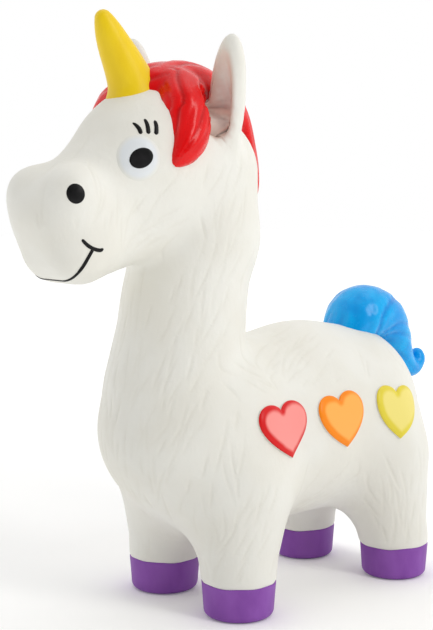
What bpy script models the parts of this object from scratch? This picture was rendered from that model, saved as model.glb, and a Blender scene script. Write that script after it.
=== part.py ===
"""Squeaky toy unicorn: a hollow latex skin with painted hooves, horn, mane, tail, hearts and face,
and the plastic squeaker that is pressed into its belly.

The nose points along -Y, the toy's left side is +X and up is +Z. The origin is on the floor under
the middle of the toy. Lengths are in millimetres and MM turns them into metres.
"""
import math

import bmesh
import bpy
import numpy as np
from mathutils import Matrix, Vector

MM = 0.001

# Driving dimensions, in millimetres.
SKIN_WALL = 2.0            # thickness of the latex
GAP = 0.35                 # clearance between neighbouring solids
SHIFT_Y = 16.8             # moves the form so that its box is centred on the origin
CUT_GAP = 0.55             # the same where one form is cut by another
HOOF_TOP = 12.4            # height of the painted hooves
HOOF_SOLE = 2.4            # the sole is thicker than the wall
HOOF_FLARE = 0.7           # how much narrower a hoof is at its foot
ANKLE = 1.0              # the leg is thinner than the hoof by this before its joints are blended
BODY_HALF = 32.3           # half width of the barrel
BARREL_SQUASH = 0.892      # the barrel is taller than it is wide by this factor
BACK_Z = 98.0              # height of the withers
HORN_TOP = 210.4           # overall height of the toy
HEART_HEIGHT = 1.5         # how far a heart stands out of the flank
EYE_HEIGHT = 1.3
PAINT_HEIGHT = 0.55        # thickness of the raised black paint
BELLY_Y = -16.5            # where the squeaker sits along the belly
BELLY_HOLE = 5.6           # radius of the hole that the squeaker is pressed into

# Where each hoof stands: x, y and radius.
HOOVES = {
    "front_left": (20.8, -39.7, 13.3),
    "front_right": (-22.0, -39.9, 13.3),
    "rear_left": (21.8, 40.2, 13.2),
    "rear_right": (-21.2, 32.0, 12.9),
}
# Each heart on the left flank: its middle (y, z), width, height, lean in degrees, how far its tip
# swings back, and its paint.
HEARTS = {
    "front": (-29.2, 68.0, 24.2, 19.6, 2.3, 2.3, "red"),
    "middle": (0.8, 68.0, 22.8, 20.3, 4.7, 1.7, "orange"),
    "rear": (30.5, 68.1, 21.7, 19.8, -5.3, -1.5, "yellow"),
}
PAINTS = {
    "latex": ((0.83, 0.82, 0.76), 0.55),
    "red": ((0.75, 0.003, 0.008), 0.25),
    "orange": ((0.95, 0.26, 0.008), 0.3),
    "yellow": ((0.80, 0.68, 0.08), 0.35),
    "gold": ((0.78, 0.58, 0.015), 0.4),
    "blue": ((0.0, 0.33, 0.85), 0.25),
    "purple": ((0.20, 0.05, 0.32), 0.35),
    "white": ((0.80, 0.83, 0.84), 0.3),
    "black": ((0.008, 0.008, 0.01), 0.3),
    "plastic": ((0.80, 0.80, 0.78), 0.4),
    "brass": ((0.70, 0.52, 0.20), 0.3),
}


# ---------------------------------------------------------------- lumps of the form

def vec(*values):
    return np.array(values, float)


def blend(a, b, radius):
    """Joins two distances with a fillet of about this radius."""
    h = np.clip(0.5 + 0.5 * (b - a) / radius, 0.0, 1.0)
    return b * (1 - h) + a * h - radius * h * (1 - h)


def ball_cloud(centre, radius, rings=12):
    """Points on a sphere, for the hull of a lump."""
    turn = np.linspace(0, 2 * math.pi, 2 * rings, endpoint=False)
    cloud = []
    for k in range(rings + 1):
        lift = math.pi * (k / rings - 0.5)
        ring = [np.cos(turn) * math.cos(lift), np.sin(turn) * math.cos(lift),
                np.full_like(turn, math.sin(lift))]
        cloud.append(np.stack(ring, 1))
    return vec(*centre) + radius * np.concatenate(cloud)


class Egg:
    """An ellipsoid."""

    def __init__(self, centre, radii):
        self.centre = vec(*centre)
        self.radii = vec(*radii)

    def distance(self, p):
        q = p - self.centre
        near = np.linalg.norm(q / self.radii, axis=-1)
        slope = np.linalg.norm(q / self.radii ** 2, axis=-1)
        return near * (near - 1) / np.maximum(slope, 1e-9)

    def clouds(self):
        return [self.centre + ball_cloud((0, 0, 0), 1) * self.radii]


class Block:
    """A box with rounded edges, nodding forward by tilt degrees."""

    def __init__(self, centre, half, rounding, tilt):
        self.centre = vec(*centre)
        self.half = vec(*half)
        self.rounding = rounding
        angle = math.radians(tilt)
        self.turn = np.array([[1, 0, 0], [0, math.cos(angle), -math.sin(angle)],
                              [0, math.sin(angle), math.cos(angle)]])

    def distance(self, p):
        q = np.abs((p - self.centre) @ self.turn) - (self.half - self.rounding)
        outside = np.linalg.norm(np.maximum(q, 0), axis=-1)
        return outside + np.minimum(q.max(-1), 0) - self.rounding

    def clouds(self):
        inner = self.half - self.rounding
        corners = [ball_cloud(inner * vec(a, b, c), self.rounding, 6)
                   for a in (-1, 1) for b in (-1, 1) for c in (-1, 1)]
        return [self.centre + np.concatenate(corners) @ self.turn.T]


class Rod:
    """Balls in a row, each joined to the next by a cone: (centre, radius), ... In its own frame, which
    the squash stretches or flattens."""

    def __init__(self, *balls, squash=(1, 1, 1), join=3.0, origin=(0, 0, 0), axes=None):
        self.balls = [(vec(*centre), radius) for centre, radius in balls]
        self.squash = vec(*squash)
        self.join = join
        self.origin = vec(*origin)
        self.axes = np.eye(3) if axes is None else axes

    def cone(self, p, a, ra, b, rb):
        axis = b - a
        length2 = axis @ axis
        drop = ra - rb
        side2 = length2 - drop * drop
        q = p - a
        y = q @ axis
        z = y - length2
        x2 = ((q * length2 - y[..., None] * axis) ** 2).sum(-1)
        y2 = y * y * length2
        z2 = z * z * length2
        edge = np.sign(drop) * drop * drop * x2
        side = (np.sqrt(x2 * side2 / length2) + y * drop) / length2 - ra
        far = np.sqrt(x2 + z2) / length2 - rb
        near = np.sqrt(x2 + y2) / length2 - ra
        ends = np.where(np.sign(y) * side2 * y2 < edge, near, side)
        return np.where(np.sign(z) * side2 * z2 > edge, far, ends)

    def distance(self, p):
        q = ((p - self.origin) @ self.axes) * self.squash
        whole = None
        for (a, ra), (b, rb) in zip(self.balls[:-1], self.balls[1:]):
            one = self.cone(q, a, ra, b, rb)
            whole = one if whole is None else blend(whole, one, self.join)
        return whole / self.squash.max()

    def clouds(self):
        pairs = zip(self.balls[:-1], self.balls[1:])
        return [self.origin + (np.concatenate([ball_cloud(*one), ball_cloud(*two)]) / self.squash)
                @ self.axes.T for one, two in pairs]


def smoothed(*balls, steps=4):
    """Balls on a smooth line through the given ones, each gap in as many steps."""
    p = np.array([(*centre, radius) for centre, radius in balls], float)
    p = np.concatenate([[2 * p[0] - p[1]], p, [2 * p[-1] - p[-2]]])
    out = []
    for a, b, c, d in zip(p[:-3], p[1:-2], p[2:-1], p[3:]):
        for t in np.linspace(0, 1, steps, endpoint=False):
            out.append(0.5 * (2 * b + (c - a) * t + (2 * a - 5 * b + 4 * c - d) * t * t
                              + (3 * b - a - 3 * c + d) * t ** 3))
    return [(tuple(row[:3]), row[3]) for row in out + [p[-2]]]


class Form:
    """Lumps blended one after another, and lumps carved out of them afterwards."""

    def __init__(self, *steps, carved=()):
        self.steps = steps
        self.carved = carved

    def distance(self, p):
        whole = None
        for lump, radius in self.steps:
            one = lump.distance(p)
            whole = one if whole is None else blend(whole, one, radius)
        for lump, radius in self.carved:
            whole = -blend(-whole, lump.distance(p), radius)
        return whole

    def clouds(self):
        return [cloud for lump, _ in self.steps for cloud in lump.clouds()]


# ---------------------------------------------------------------- the toy's forms

def leg(place):
    x, y, radius = HOOVES[place]
    side = math.copysign(1.0, x)
    if place.startswith("front"):
        hip = ((side * 18.6, -39.0, 44), 19.6)
    else:
        hip = ((side * 18.0, y * 0.86, 46), 19.4)
    return Rod(((x, y, 4), radius - HOOF_FLARE - ANKLE), ((x, y, 14), radius - ANKLE), hip, join=4.0)


def ear_frame(side):
    """Axes of an ear: across, back and up, leaning outwards."""
    up = vec(side * 0.24, -0.09, 1)
    up /= np.linalg.norm(up)
    back = vec(side * -0.1, 1, 0)
    back -= up * (back @ up)
    back /= np.linalg.norm(back)
    return np.stack([np.cross(back, up), back, up], 1)


def ear(side):
    """An ear's leaf, the cup that is pressed into its front, and the room that the mane leaves it."""
    origin = (21.4, -45.5, 183.6) if side > 0 else (-24.6, -47.2, 186.4)
    axes = ear_frame(side)
    leaf = Rod(*smoothed(((0, 0, -17), 6.0), ((0, 0, -5), 7.1), ((0, 0, 7), 6.3), ((0, 0, 14.2), 4.3),
                         ((0, 0, 17.4), 2.0)), squash=(1, 1.4, 1), join=0.4, origin=origin, axes=axes)
    cup = Rod(*smoothed(((0, -5.4, -10), 5.0), ((0, -5.4, -2), 4.9), ((0, -5.3, 6), 3.9),
                        ((0, -5.1, 12), 2.2)), join=0.4, origin=origin, axes=axes)
    room = Rod(((0, 0, -20), 7.4), ((0, 0, -4), 8.2), ((0, 0, 8), 6.7), squash=(1, 1.25, 1),
               origin=origin, axes=axes)
    mouth = Rod(((0, -5.2, -11), 7.2), ((0, -5.2, 6), 5.6), origin=origin, axes=axes)
    return leaf, cup, (room, mouth)


BARREL_FRONT = ((0, -32, (BACK_Z - 36.9) * BARREL_SQUASH), BODY_HALF - 0.55)
BARREL_REAR = ((0, 30.8, (BACK_Z - 35.8) * BARREL_SQUASH), BODY_HALF - 0.9)
TRUNK = [
    (Rod(BARREL_FRONT, BARREL_REAR, squash=(1, 1, BARREL_SQUASH)), 0),
    (Egg((0, -48.2, 65.5), (30.6, 30.9, 31.5)), 12),
    (Egg((0, 7, BACK_Z - 18.6), (20, 27, 20)), 7),
    (Rod(((0, -51.3, 80), 26.0), ((0, -48.0, 110), 21.4), ((0, -43.1, 134), 22.7),
         ((0, -43, 156), 22.6), join=4.0), 3),
] + [(leg(place), 11) for place in HOOVES]
HEAD = [
    (Egg((0, -60, 162.5), (22.5, 25, 25)), 9),
    (Rod(((0, -72, 158), 20), ((0, -95, 143.5), 15.5)), 10),
    (Block((0, -97.2, 137.4), (18.3, 13.8, 17.8), 12.5, 20), 8),
    (Rod(((0, -60, 147), 18.5), ((0, -84, 134.0), 12)), 5),
    (Egg((11.5, -102.5, 149.5), (8.4, 8.4, 8.4)), 6),
    (Egg((-11.5, -102.5, 149.5), (8.4, 8.4, 8.4)), 6),
]
EARS = [ear(side) for side in (1, -1)]
SKIN = Form(*TRUNK, *HEAD, *[(leaf, 3) for leaf, _, _ in EARS],
            carved=[(cup, 2.0) for _, cup, _ in EARS])
HOLLOW = Form(*TRUNK, *HEAD)
HORN = Form((Rod(*smoothed(((0, -69.8, 177), 9.7), ((0, -69.5, 184), 8.5), ((0, -73.5, 192.3), 6.8),
                           ((0, -78.6, 201.2), 5.0), ((0, -81.7, HORN_TOP - 2.9), 2.9)), join=0.4), 0))
CROWN = Rod(*smoothed(((0, -62, 183.4), 10.2), ((0, -50, 184.3), 10.9), ((0, -41, 182), 10.7),
                      ((0, -35, 176), 10.2)), squash=(0.82, 1, 1), join=0.4)
LOCKS = (Rod(*smoothed(((2.5, -63, 182.5), 7.5), ((8, -57.5, 182.5), 9.4), ((14, -59.3, 178.5), 9.0),
                       ((16.8, -59.8, 173.5), 8.6), ((20.2, -62.4, 167.3), 6.9), ((21.9, -65.1, 163.3), 4.8),
                       ((22.4, -68.3, 160.2), 2.4)), join=0.4),
         Rod(*smoothed(((-2.5, -65, 182.5), 7.5), ((-8, -62.5, 181.5), 9.0), ((-14, -64.4, 178.5), 9.0),
                       ((-18.6, -64.1, 173.5), 8.8), ((-21.0, -64.1, 168.3), 7.8), ((-22.2, -65.7, 163.6), 5.5),
                       ((-22.8, -67.4, 159.6), 3.2)), join=0.4))
CREST = [Rod(*smoothed(((side * 2, -32, 181), 7.5), ((side * 2, -26.5, 174), 6.3),
                       ((side * 2, -24.5, 165), 6.7), ((side * 1.5, -22.5, 156), 6.8),
                       ((side, -21, 149), 5.4), ((side * 0.7, -21, 142), 3.0)), join=0.4)
         for side in (1, -1)]
MANE = Form((CROWN, 0), *[(lock, 2) for lock in (*LOCKS, *CREST)],
            carved=[(room, 1.0) for _, _, rooms in EARS for room in rooms])
TAIL = Form((Rod(*smoothed(((0, 34, 93), 9.0), ((0, 42, 100.4), 11.3), ((0, 52, 98.7), 10.4),
                           ((0, 59.6, 90.6), 8.1), ((0, 65.3, 82.3), 5.6), ((0, 70.6, 77.2), 4.2),
                           ((0, 74.3, 76.6), 3.4), ((0, 76.9, 79.4), 3.0), ((0, 76.9, 81.8), 2.4)),
                 squash=(0.85, 1, 1), join=0.4), 0))


# ---------------------------------------------------------------- mesh tools

def paint(name):
    colour, roughness = PAINTS[name]
    material = bpy.data.materials.get(name) or bpy.data.materials.new(name)
    material.use_nodes = True
    shader = material.node_tree.nodes["Principled BSDF"]
    shader.inputs["Base Color"].default_value = (*colour, 1)
    shader.inputs["Roughness"].default_value = roughness
    shader.inputs["Metallic"].default_value = 1.0 if name == "brass" else 0.0
    return material


def new_object(name, mesh):
    made = bpy.data.objects.new(name, mesh)
    bpy.context.scene.collection.objects.link(made)
    return made


def from_bmesh(name, bm):
    mesh = bpy.data.meshes.new(name)
    bm.to_mesh(mesh)
    bm.free()
    return new_object(name, mesh)


def bake(made):
    """Replaces an object's mesh by the one its modifiers make."""
    graph = bpy.context.evaluated_depsgraph_get()
    mesh = bpy.data.meshes.new_from_object(made.evaluated_get(graph))
    made.modifiers.clear()
    made.data = mesh
    return made


def remove(*objects):
    for one in objects:
        bpy.data.objects.remove(one)


def settle(made, form, level, rounds=8, step=0.05):
    """Moves every vertex along the form's slope until it lies at this distance from the surface."""
    count = len(made.data.vertices)
    places = np.empty(count * 3)
    made.data.vertices.foreach_get("co", places)
    p = places.reshape(-1, 3) / MM
    for _ in range(rounds):
        here = form.distance(p)
        slope = np.stack([form.distance(p + step * axis) - here for axis in np.eye(3)], 1) / step
        size = np.maximum((slope ** 2).sum(1), 0.2)
        move = slope * ((here - level) / size)[:, None]
        reach = np.linalg.norm(move, axis=1, keepdims=True)
        p = p - move * np.minimum(1.0, 2.5 / np.maximum(reach, 1e-9))
    made.data.vertices.foreach_set("co", (p * MM).ravel())
    made.data.update()


def sculpt(name, form, level, voxel, faces):
    """Hulls the form's lumps, fuses them, settles the clay on the form and thins the mesh."""
    bm = bmesh.new()
    for cloud in form.clouds():
        points = [bm.verts.new(Vector(point) * MM) for point in cloud]
        hull = bmesh.ops.convex_hull(bm, input=points)
        bmesh.ops.delete(bm, geom=hull["geom_interior"], context="VERTS")
    made = from_bmesh(name, bm)
    fuse = made.modifiers.new("fuse", "REMESH")
    fuse.mode = "VOXEL"
    fuse.voxel_size = voxel * MM
    bake(made)
    settle(made, form, level)
    thin = made.modifiers.new("thin", "DECIMATE")
    triangles = sum(len(face.vertices) - 2 for face in made.data.polygons)
    thin.ratio = faces / triangles
    bake(made)
    settle(made, form, level, rounds=3)
    return made


def cut(made, *cutters, folded=False):
    """Takes the cutters out of an object. A cutter that was grown may be folded in its creases."""
    for cutter in cutters:
        step = made.modifiers.new("cut", "BOOLEAN")
        step.operation = "DIFFERENCE"
        step.solver = "EXACT"
        step.use_self = folded
        step.object = cutter
        cutter.hide_render = True
        cutter.display_type = "WIRE"
        bake(made)
    return made


def add(made, other):
    """Fuses another solid with an object."""
    step = made.modifiers.new("add", "BOOLEAN")
    step.operation = "UNION"
    step.solver = "EXACT"
    step.object = other
    bake(made)
    remove(other)


def keep_clear(made, height, margin):
    """Moves vertices off the level of a coming cut, where they would leave slivers."""
    for vertex in made.data.vertices:
        above = vertex.co.z / MM - height
        if abs(above) < margin:
            vertex.co.z = (height + math.copysign(margin, above)) * MM


def turned(name, outline, centre, steps=32):
    """A solid turned about the upright line through centre (x, y). The outline runs as (radius, z) and
    starts and ends on the axis, or closes on itself when it leaves a bore."""
    bm = bmesh.new()
    corners = [bm.verts.new((radius * MM, 0, z * MM)) for radius, z in outline]
    edges = [bm.edges.new(pair) for pair in zip(corners[:-1], corners[1:])]
    if outline[0][0] > 0:
        edges.append(bm.edges.new((corners[-1], corners[0])))
    bmesh.ops.spin(bm, geom=corners + edges, cent=(0, 0, 0), axis=(0, 0, 1),
                   angle=2 * math.pi, steps=steps, use_merge=True)
    bmesh.ops.remove_doubles(bm, verts=bm.verts, dist=0.00002)
    bmesh.ops.recalc_face_normals(bm, faces=bm.faces)
    bmesh.ops.translate(bm, verts=bm.verts, vec=(centre[0] * MM, centre[1] * MM, 0))
    return from_bmesh(name, bm)


def box(name, low, high):
    bm = bmesh.new()
    size = Vector(high) - Vector(low)
    middle = (Vector(high) + Vector(low)) / 2
    bmesh.ops.create_cube(bm, size=MM, matrix=Matrix.Translation(middle * MM)
                          @ Matrix.Diagonal((*size, 1)))
    return from_bmesh(name, bm)


def press(points, facing, level, rounds=14):
    """Slides points along the facing direction until they are at this distance from the skin."""
    p = np.array(points, float)
    for _ in range(rounds):
        p = p - facing * (SKIN.distance(p) - level)[:, None]
    return p


def raised(name, outline, centre, facing, upright, height, base=GAP):
    """A low crowned plate that lies on the skin: its outline is a list of (across, up)."""
    facing = vec(*facing)
    facing /= np.linalg.norm(facing)
    up = vec(*upright)
    up -= facing * (up @ facing)
    up /= np.linalg.norm(up)
    across = np.cross(up, facing)
    rim = np.array(outline, float)
    count = len(rim)
    bm = bmesh.new()
    sheets = []
    for thick, scales in ((height, (1.0, 0.84, 0.45)), (0.0, (1.0, 0.5))):
        rings = []
        for scale in scales:
            flat = vec(*centre) + facing * 12 + scale * (rim[:, :1] * across + rim[:, 1:] * up)
            level = base + thick * math.sqrt(1 - (0.92 * scale) ** 3)
            rings.append([bm.verts.new(Vector(q) * MM) for q in press(flat, facing, level)])
        middle = press([vec(*centre) + facing * 12], facing, base + thick)[0]
        hub = bm.verts.new(Vector(middle) * MM)
        for outer, inner in zip(rings[:-1], rings[1:]):
            for k in range(count):
                bm.faces.new((outer[k - 1], outer[k], inner[k], inner[k - 1]))
        for k in range(count):
            bm.faces.new((rings[-1][k - 1], rings[-1][k], hub))
        sheets.append(rings[0])
    top, bottom = sheets
    for k in range(count):
        bm.faces.new((bottom[k - 1], bottom[k], top[k], top[k - 1]))
    bmesh.ops.recalc_face_normals(bm, faces=bm.faces)
    return from_bmesh(name, bm)


def brush_line(name, stroke, radius, mirror=False):
    """Raised paint along a stroke of (x, y, z, width), which is pressed on the skin."""
    curve = bpy.data.curves.new(name, "CURVE")
    curve.dimensions = "3D"
    curve.bevel_depth = radius * MM
    curve.bevel_resolution = 1
    curve.use_fill_caps = True
    line = curve.splines.new("POLY")
    line.points.add(len(stroke) - 1)
    for point, (x, y, z, width) in zip(line.points, stroke):
        place = surface_point((-x if mirror else x, y, z), GAP + radius * width)
        point.co = (*(Vector(place) * MM), 1)
        point.radius = width
    guide = new_object(name + "_guide", curve)
    graph = bpy.context.evaluated_depsgraph_get()
    mesh = bpy.data.meshes.new_from_object(guide.evaluated_get(graph))
    remove(guide)
    bm = bmesh.new()
    bm.from_mesh(mesh)
    bmesh.ops.remove_doubles(bm, verts=bm.verts, dist=0.00002)
    bmesh.ops.recalc_face_normals(bm, faces=bm.faces)
    return from_bmesh(name, bm)


def surface_point(point, level):
    """The nearest place at this distance from the skin."""
    p = np.array([point], float)
    for _ in range(12):
        here = SKIN.distance(p)
        slope = np.stack([SKIN.distance(p + 0.05 * axis) - here for axis in np.eye(3)], 1) / 0.05
        p = p - slope * ((here - level) / (slope ** 2).sum(1))[:, None]
    return p[0]


def oval(across, tall, count=20, lean=0.0):
    turn = [2 * math.pi * k / count for k in range(count)]
    points = [(across * math.cos(t), tall * math.sin(t)) for t in turn]
    cosine, sine = math.cos(math.radians(lean)), math.sin(math.radians(lean))
    return [(a * cosine - b * sine, a * sine + b * cosine) for a, b in points]


def heart_outline(wide, tall, lean, swing, count=26):
    """A plump heart whose tip swings sideways, leaning by so many degrees, around its middle."""
    cosine, sine = math.cos(math.radians(lean)), math.sin(math.radians(lean))
    points = []
    for k in range(count):
        turn = 2 * math.pi * k / count
        rise = tall * (13 * math.cos(turn) - 3.5 * math.cos(2 * turn) - 2 * math.cos(3 * turn)) / 25.2
        across = wide / 2 * (0.95 * math.sin(turn) ** 3 + 0.05 * math.sin(turn))
        across += swing * (0.42 - rise / tall) ** 2
        points.append((across * cosine - rise * sine, across * sine + rise * cosine))
    return points


# ---------------------------------------------------------------- the pieces

def skin_and_cutters():
    """The hollow latex skin, open at its four ankles and its belly."""
    outer = sculpt("latex_skin", SKIN, 0.0, 2.2, 4600)
    inner = sculpt("hollow", HOLLOW, -SKIN_WALL, 3.0, 2000)
    grown = new_object("grown_skin", outer.data.copy())
    settle(grown, SKIN, CUT_GAP, rounds=6)
    ankle = HOOF_TOP + GAP
    for clay in (outer, inner):
        keep_clear(clay, ankle, 0.3)
    below = box("below", (-60, -80, -10), (60, 80, ankle))
    hole = turned("belly_hole", [(0, 15), (BELLY_HOLE, 15), (BELLY_HOLE, 45), (0, 45)], (0, BELLY_Y))
    cut(outer, inner, below, hole)
    remove(below, hole)
    return outer, inner, grown


def hoof(place):
    """A hoof is the closed end of a leg: a cup with a flat sole."""
    x, y, radius = HOOVES[place]
    foot = radius - HOOF_FLARE
    wall = SKIN_WALL
    outline = [(0, 0), (foot - 2.0, 0), (foot - 0.9, 0.35), (foot - 0.2, 1.2), (foot, 2.4),
               (radius, HOOF_TOP), (radius - wall, HOOF_TOP), (foot - wall, HOOF_SOLE + 1.2),
               (foot - wall - 1.2, HOOF_SOLE), (0, HOOF_SOLE)]
    return turned("hoof_" + place, outline, (x, y))


def squeaker():
    """The barrel that is pressed into the belly, and the reed that sounds in it."""
    belly = press([(0, BELLY_Y, 0)], vec(0, 0, -1), 0.0)[0][2]
    bore = 3.0
    rim = belly - 0.8
    inside = belly + SKIN_WALL + 1.6
    top = inside + 8.0
    barrel = turned("squeaker_barrel",
                    [(bore, rim - 1.1), (6.9, rim - 1.1), (7.5, rim - 0.5), (7.5, rim),
                     (BELLY_HOLE - GAP, rim), (BELLY_HOLE - GAP, inside), (7.6, inside),
                     (7.6, top), (bore, top)], (0, BELLY_Y), 24)
    foot = top + GAP
    face = BELLY_Y + 0.6
    shallot = box("reed_shallot", (-2.6, face - 2.4, foot), (2.6, face, foot + 12))
    slot = box("slot", (-1.7, face - 1.4, foot - 1), (1.7, face + 1, foot + 10.8))
    cut(shallot, slot)
    near = face + GAP
    ring = box("reed_ring", (-4.0, face - 3.8, foot), (4.0, near + 1.9, foot + 2.6))
    eye = box("eye", (-2.95, face - 2.75, foot - 1), (2.95, near + 0.75, foot + 4))
    cut(ring, eye)
    remove(slot, eye)
    reed = box("squeaker_reed", (-2.2, near, foot + 0.3), (2.2, near + 0.4, foot + 11.4))
    hinge = Vector((0, near + 0.2, foot + 1.4)) * MM
    reed.data.transform(Matrix.Translation(-hinge))
    reed.location = hinge
    return barrel, shallot, ring, reed


def face_pieces(side, word):
    """The eye, pupil, lashes and nostril on one side of the head."""
    outwards = (0.88 * side, -0.47, 0.05)
    eye_place = (19.2 * side, -81.5, 160.9)
    eye = raised("eye_white_" + word, oval(7.2, 7.4), eye_place, outwards, (0, 0, 1), EYE_HEIGHT)
    pupil = raised("pupil_" + word, oval(3.7, 3.2, 16, 14 * side), (19.5 * side, -80.9, 160.7),
                   outwards, (0, 0, 1), PAINT_HEIGHT, base=EYE_HEIGHT + 2 * GAP)
    nostril = raised("nostril_" + word, oval(2.8, 3.1, 16, 14 * side), (18.7 * side, -105.9, 149.3),
                     (0.87 * side, -0.5, 0.1), (0, 0, 1), PAINT_HEIGHT)
    made = {eye: "white", pupil: "black", nostril: "black"}
    for number, stroke in enumerate(LASHES, 1):
        made[brush_line(f"lash_{word}_{number}", stroke, 0.55, mirror=side < 0)] = "black"
    return made


# Brush strokes on the left of the face: x, y, z and how fully the brush is pressed.
LASHES = [
    [(15.0, -80.9, 172.6, 0.6), (16.2, -80.2, 171.6, 0.9), (17.3, -79.8, 170.4, 1.0),
     (18.1, -79.7, 169.0, 0.8)],
    [(16.6, -77.2, 173.9, 0.6), (17.8, -77.1, 172.5, 0.9), (18.6, -77.2, 170.8, 1.0),
     (19.3, -77.5, 169.0, 0.8)],
    [(18.4, -74.3, 173.4, 0.6), (19.4, -74.4, 172.0, 0.9), (20.0, -74.7, 170.4, 1.0),
     (20.4, -75.2, 168.7, 0.8)],
]
SMILE = [(18.3, -99.2, 131.6), (17.4, -100.6, 128.6), (15.6, -101.6, 125.6), (13.0, -102.4, 122.8),
         (9.6, -103.0, 120.7), (5.2, -103.4, 119.4), (0.0, -103.6, 119.0)]
TICK = [(17.8, -103.0, 134.8), (18.2, -101.2, 133.0), (18.4, -99.0, 131.8), (18.7, -96.6, 131.2),
        (18.9, -95.2, 131.6)]


def smile():
    """The mouth: one line across the muzzle from corner to corner, with a tick over each corner."""
    half = [(x, y, z, 0.7 if k else 1.0) for k, (x, y, z) in enumerate(SMILE)]
    whole = half + [(-x, y, z, width) for x, y, z, width in reversed(half[:-1])]
    mouth = brush_line("mouth_line", whole, 0.5)
    tick = [(x, y, z, 0.9) for x, y, z in TICK]
    for mirror in (False, True):
        add(mouth, brush_line("tick", tick, 0.55, mirror))
    return mouth


def hearts(side, word):
    made = {}
    for place, (y, z, wide, tall, lean, swing, colour) in HEARTS.items():
        outline = heart_outline(wide, tall, lean * side, swing * side)
        made[raised(f"heart_{place}_{word}", outline, (34 * side, y, z), (side, 0, 0.05), (0, 0, 1),
                    HEART_HEIGHT)] = colour
    return made


def main():
    for old in list(bpy.data.objects):
        remove(old)
    skin, inner, grown = skin_and_cutters()
    horn = sculpt("horn", HORN, 0.0, 1.2, 320)
    grown_horn = new_object("grown_horn", horn.data.copy())
    settle(grown_horn, HORN, GAP, rounds=3)
    mane = sculpt("mane", MANE, 0.0, 1.8, 1500)
    tail = sculpt("tail", TAIL, 0.0, 1.4, 700)
    cut(horn, grown, folded=True)
    cut(mane, grown, grown_horn, folded=True)
    cut(tail, grown, folded=True)
    remove(inner, grown, grown_horn)
    pieces = {skin: "latex", horn: "gold", mane: "red", tail: "blue", smile(): "black"}
    for place in HOOVES:
        pieces[hoof(place)] = "purple"
    for side, word in ((1, "left"), (-1, "right")):
        pieces.update(face_pieces(side, word))
        pieces.update(hearts(side, word))
    barrel, shallot, ring, reed = squeaker()
    pieces.update({barrel: "plastic", shallot: "plastic", ring: "plastic", reed: "brass"})
    toy = new_object("toy", None)
    toy.location = (0, SHIFT_Y * MM, 0)
    for piece, colour in pieces.items():
        piece.parent = toy
        piece.data.materials.clear()
        piece.data.materials.append(paint(colour))
        if piece.type == "MESH":
            piece.data.shade_smooth()
            piece.data.set_sharp_from_angle(angle=math.radians(40))


main()
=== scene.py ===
# %% [markdown]
# # A squeaky toy unicorn
#
# The real toy is one hollow casting of latex. Liquid latex is dipped or poured in a plaster mould whose
# wall carries the engraved hair, so the hair comes out in the rubber itself. Then the horn, mane, tail,
# hooves, hearts and face are painted by hand, and a plastic squeaker is pressed into the belly.
#
# Each cell below makes one of those pieces or finishes. The frame comes first: it is the plain CAD model
# that everything here has to fit.

# %% The frame
import math

import bmesh
import bpy
import numpy as np
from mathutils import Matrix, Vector, kdtree


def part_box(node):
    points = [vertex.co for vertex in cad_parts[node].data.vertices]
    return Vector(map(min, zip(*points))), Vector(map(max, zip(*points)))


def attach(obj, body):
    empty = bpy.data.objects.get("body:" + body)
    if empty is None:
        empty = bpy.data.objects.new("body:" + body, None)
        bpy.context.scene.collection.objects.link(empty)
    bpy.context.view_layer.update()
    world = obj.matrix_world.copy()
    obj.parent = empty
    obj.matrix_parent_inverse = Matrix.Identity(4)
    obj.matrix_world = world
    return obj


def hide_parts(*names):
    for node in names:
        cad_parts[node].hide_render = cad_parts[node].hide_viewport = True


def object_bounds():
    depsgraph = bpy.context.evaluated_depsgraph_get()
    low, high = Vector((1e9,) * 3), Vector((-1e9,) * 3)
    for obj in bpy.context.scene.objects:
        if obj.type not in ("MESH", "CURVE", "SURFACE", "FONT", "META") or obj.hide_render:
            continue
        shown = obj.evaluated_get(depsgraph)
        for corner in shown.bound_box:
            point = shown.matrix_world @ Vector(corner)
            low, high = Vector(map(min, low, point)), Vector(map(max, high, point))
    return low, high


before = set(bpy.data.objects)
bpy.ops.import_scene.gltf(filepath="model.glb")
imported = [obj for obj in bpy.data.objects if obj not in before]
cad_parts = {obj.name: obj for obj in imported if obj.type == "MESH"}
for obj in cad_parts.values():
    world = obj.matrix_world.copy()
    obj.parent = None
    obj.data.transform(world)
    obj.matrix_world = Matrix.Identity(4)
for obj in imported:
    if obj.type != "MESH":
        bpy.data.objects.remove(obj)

bpy.context.view_layer.update()
cad_low, cad_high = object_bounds()
print("CAD box", [round(v, 4) for v in (*cad_low, *cad_high)])

# %% [markdown]
# ## Sizes that the frame gives
#
# The forms are easiest to think of in millimetres, around a point on the floor midway between the hooves.
# The frame's origin lies further along, under the middle of the whole toy, so the hooves of the CAD model
# tell how far to move the finished meshes, and how wide each leg is where it meets the ground.

# %% Where the toy stands
MM = 0.001
HOOF_NAMES = ("front_left", "front_right", "rear_left", "rear_right")


def footprint(name):
    low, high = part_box("hoof_" + name)
    return (low.x + high.x) / 2 / MM, (low.y + high.y) / 2 / MM, (high.x - low.x) / 2 / MM, high.z / MM


FRONT_LEG_Y = -39.7
SHIFT_Y = footprint("front_left")[1] - FRONT_LEG_Y
HOOVES = {}
for name in HOOF_NAMES:
    x, y, radius, hoof_top = footprint(name)
    HOOVES[name] = (x, y - SHIFT_Y, radius)
    print(name, [round(v, 2) for v in HOOVES[name]])
HORN_TOP = cad_high[2] / MM
print("shift", round(SHIFT_Y, 2), "hoof height", round(hoof_top, 2), "horn tip at", round(HORN_TOP, 2))

# %% [markdown]
# ## Lumps of clay
#
# A moulded animal has no edges: every part flows into the next. It could be a subdivision cage, but a cage
# with a head, ears and four legs takes long to lay out by hand. A sculptor starts with balls and rolls of
# clay and smooths the joints. The same idea in numbers is a distance function: each lump says how far a
# point is from its surface, and `blend` joins two of those distances with a fillet.

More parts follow.
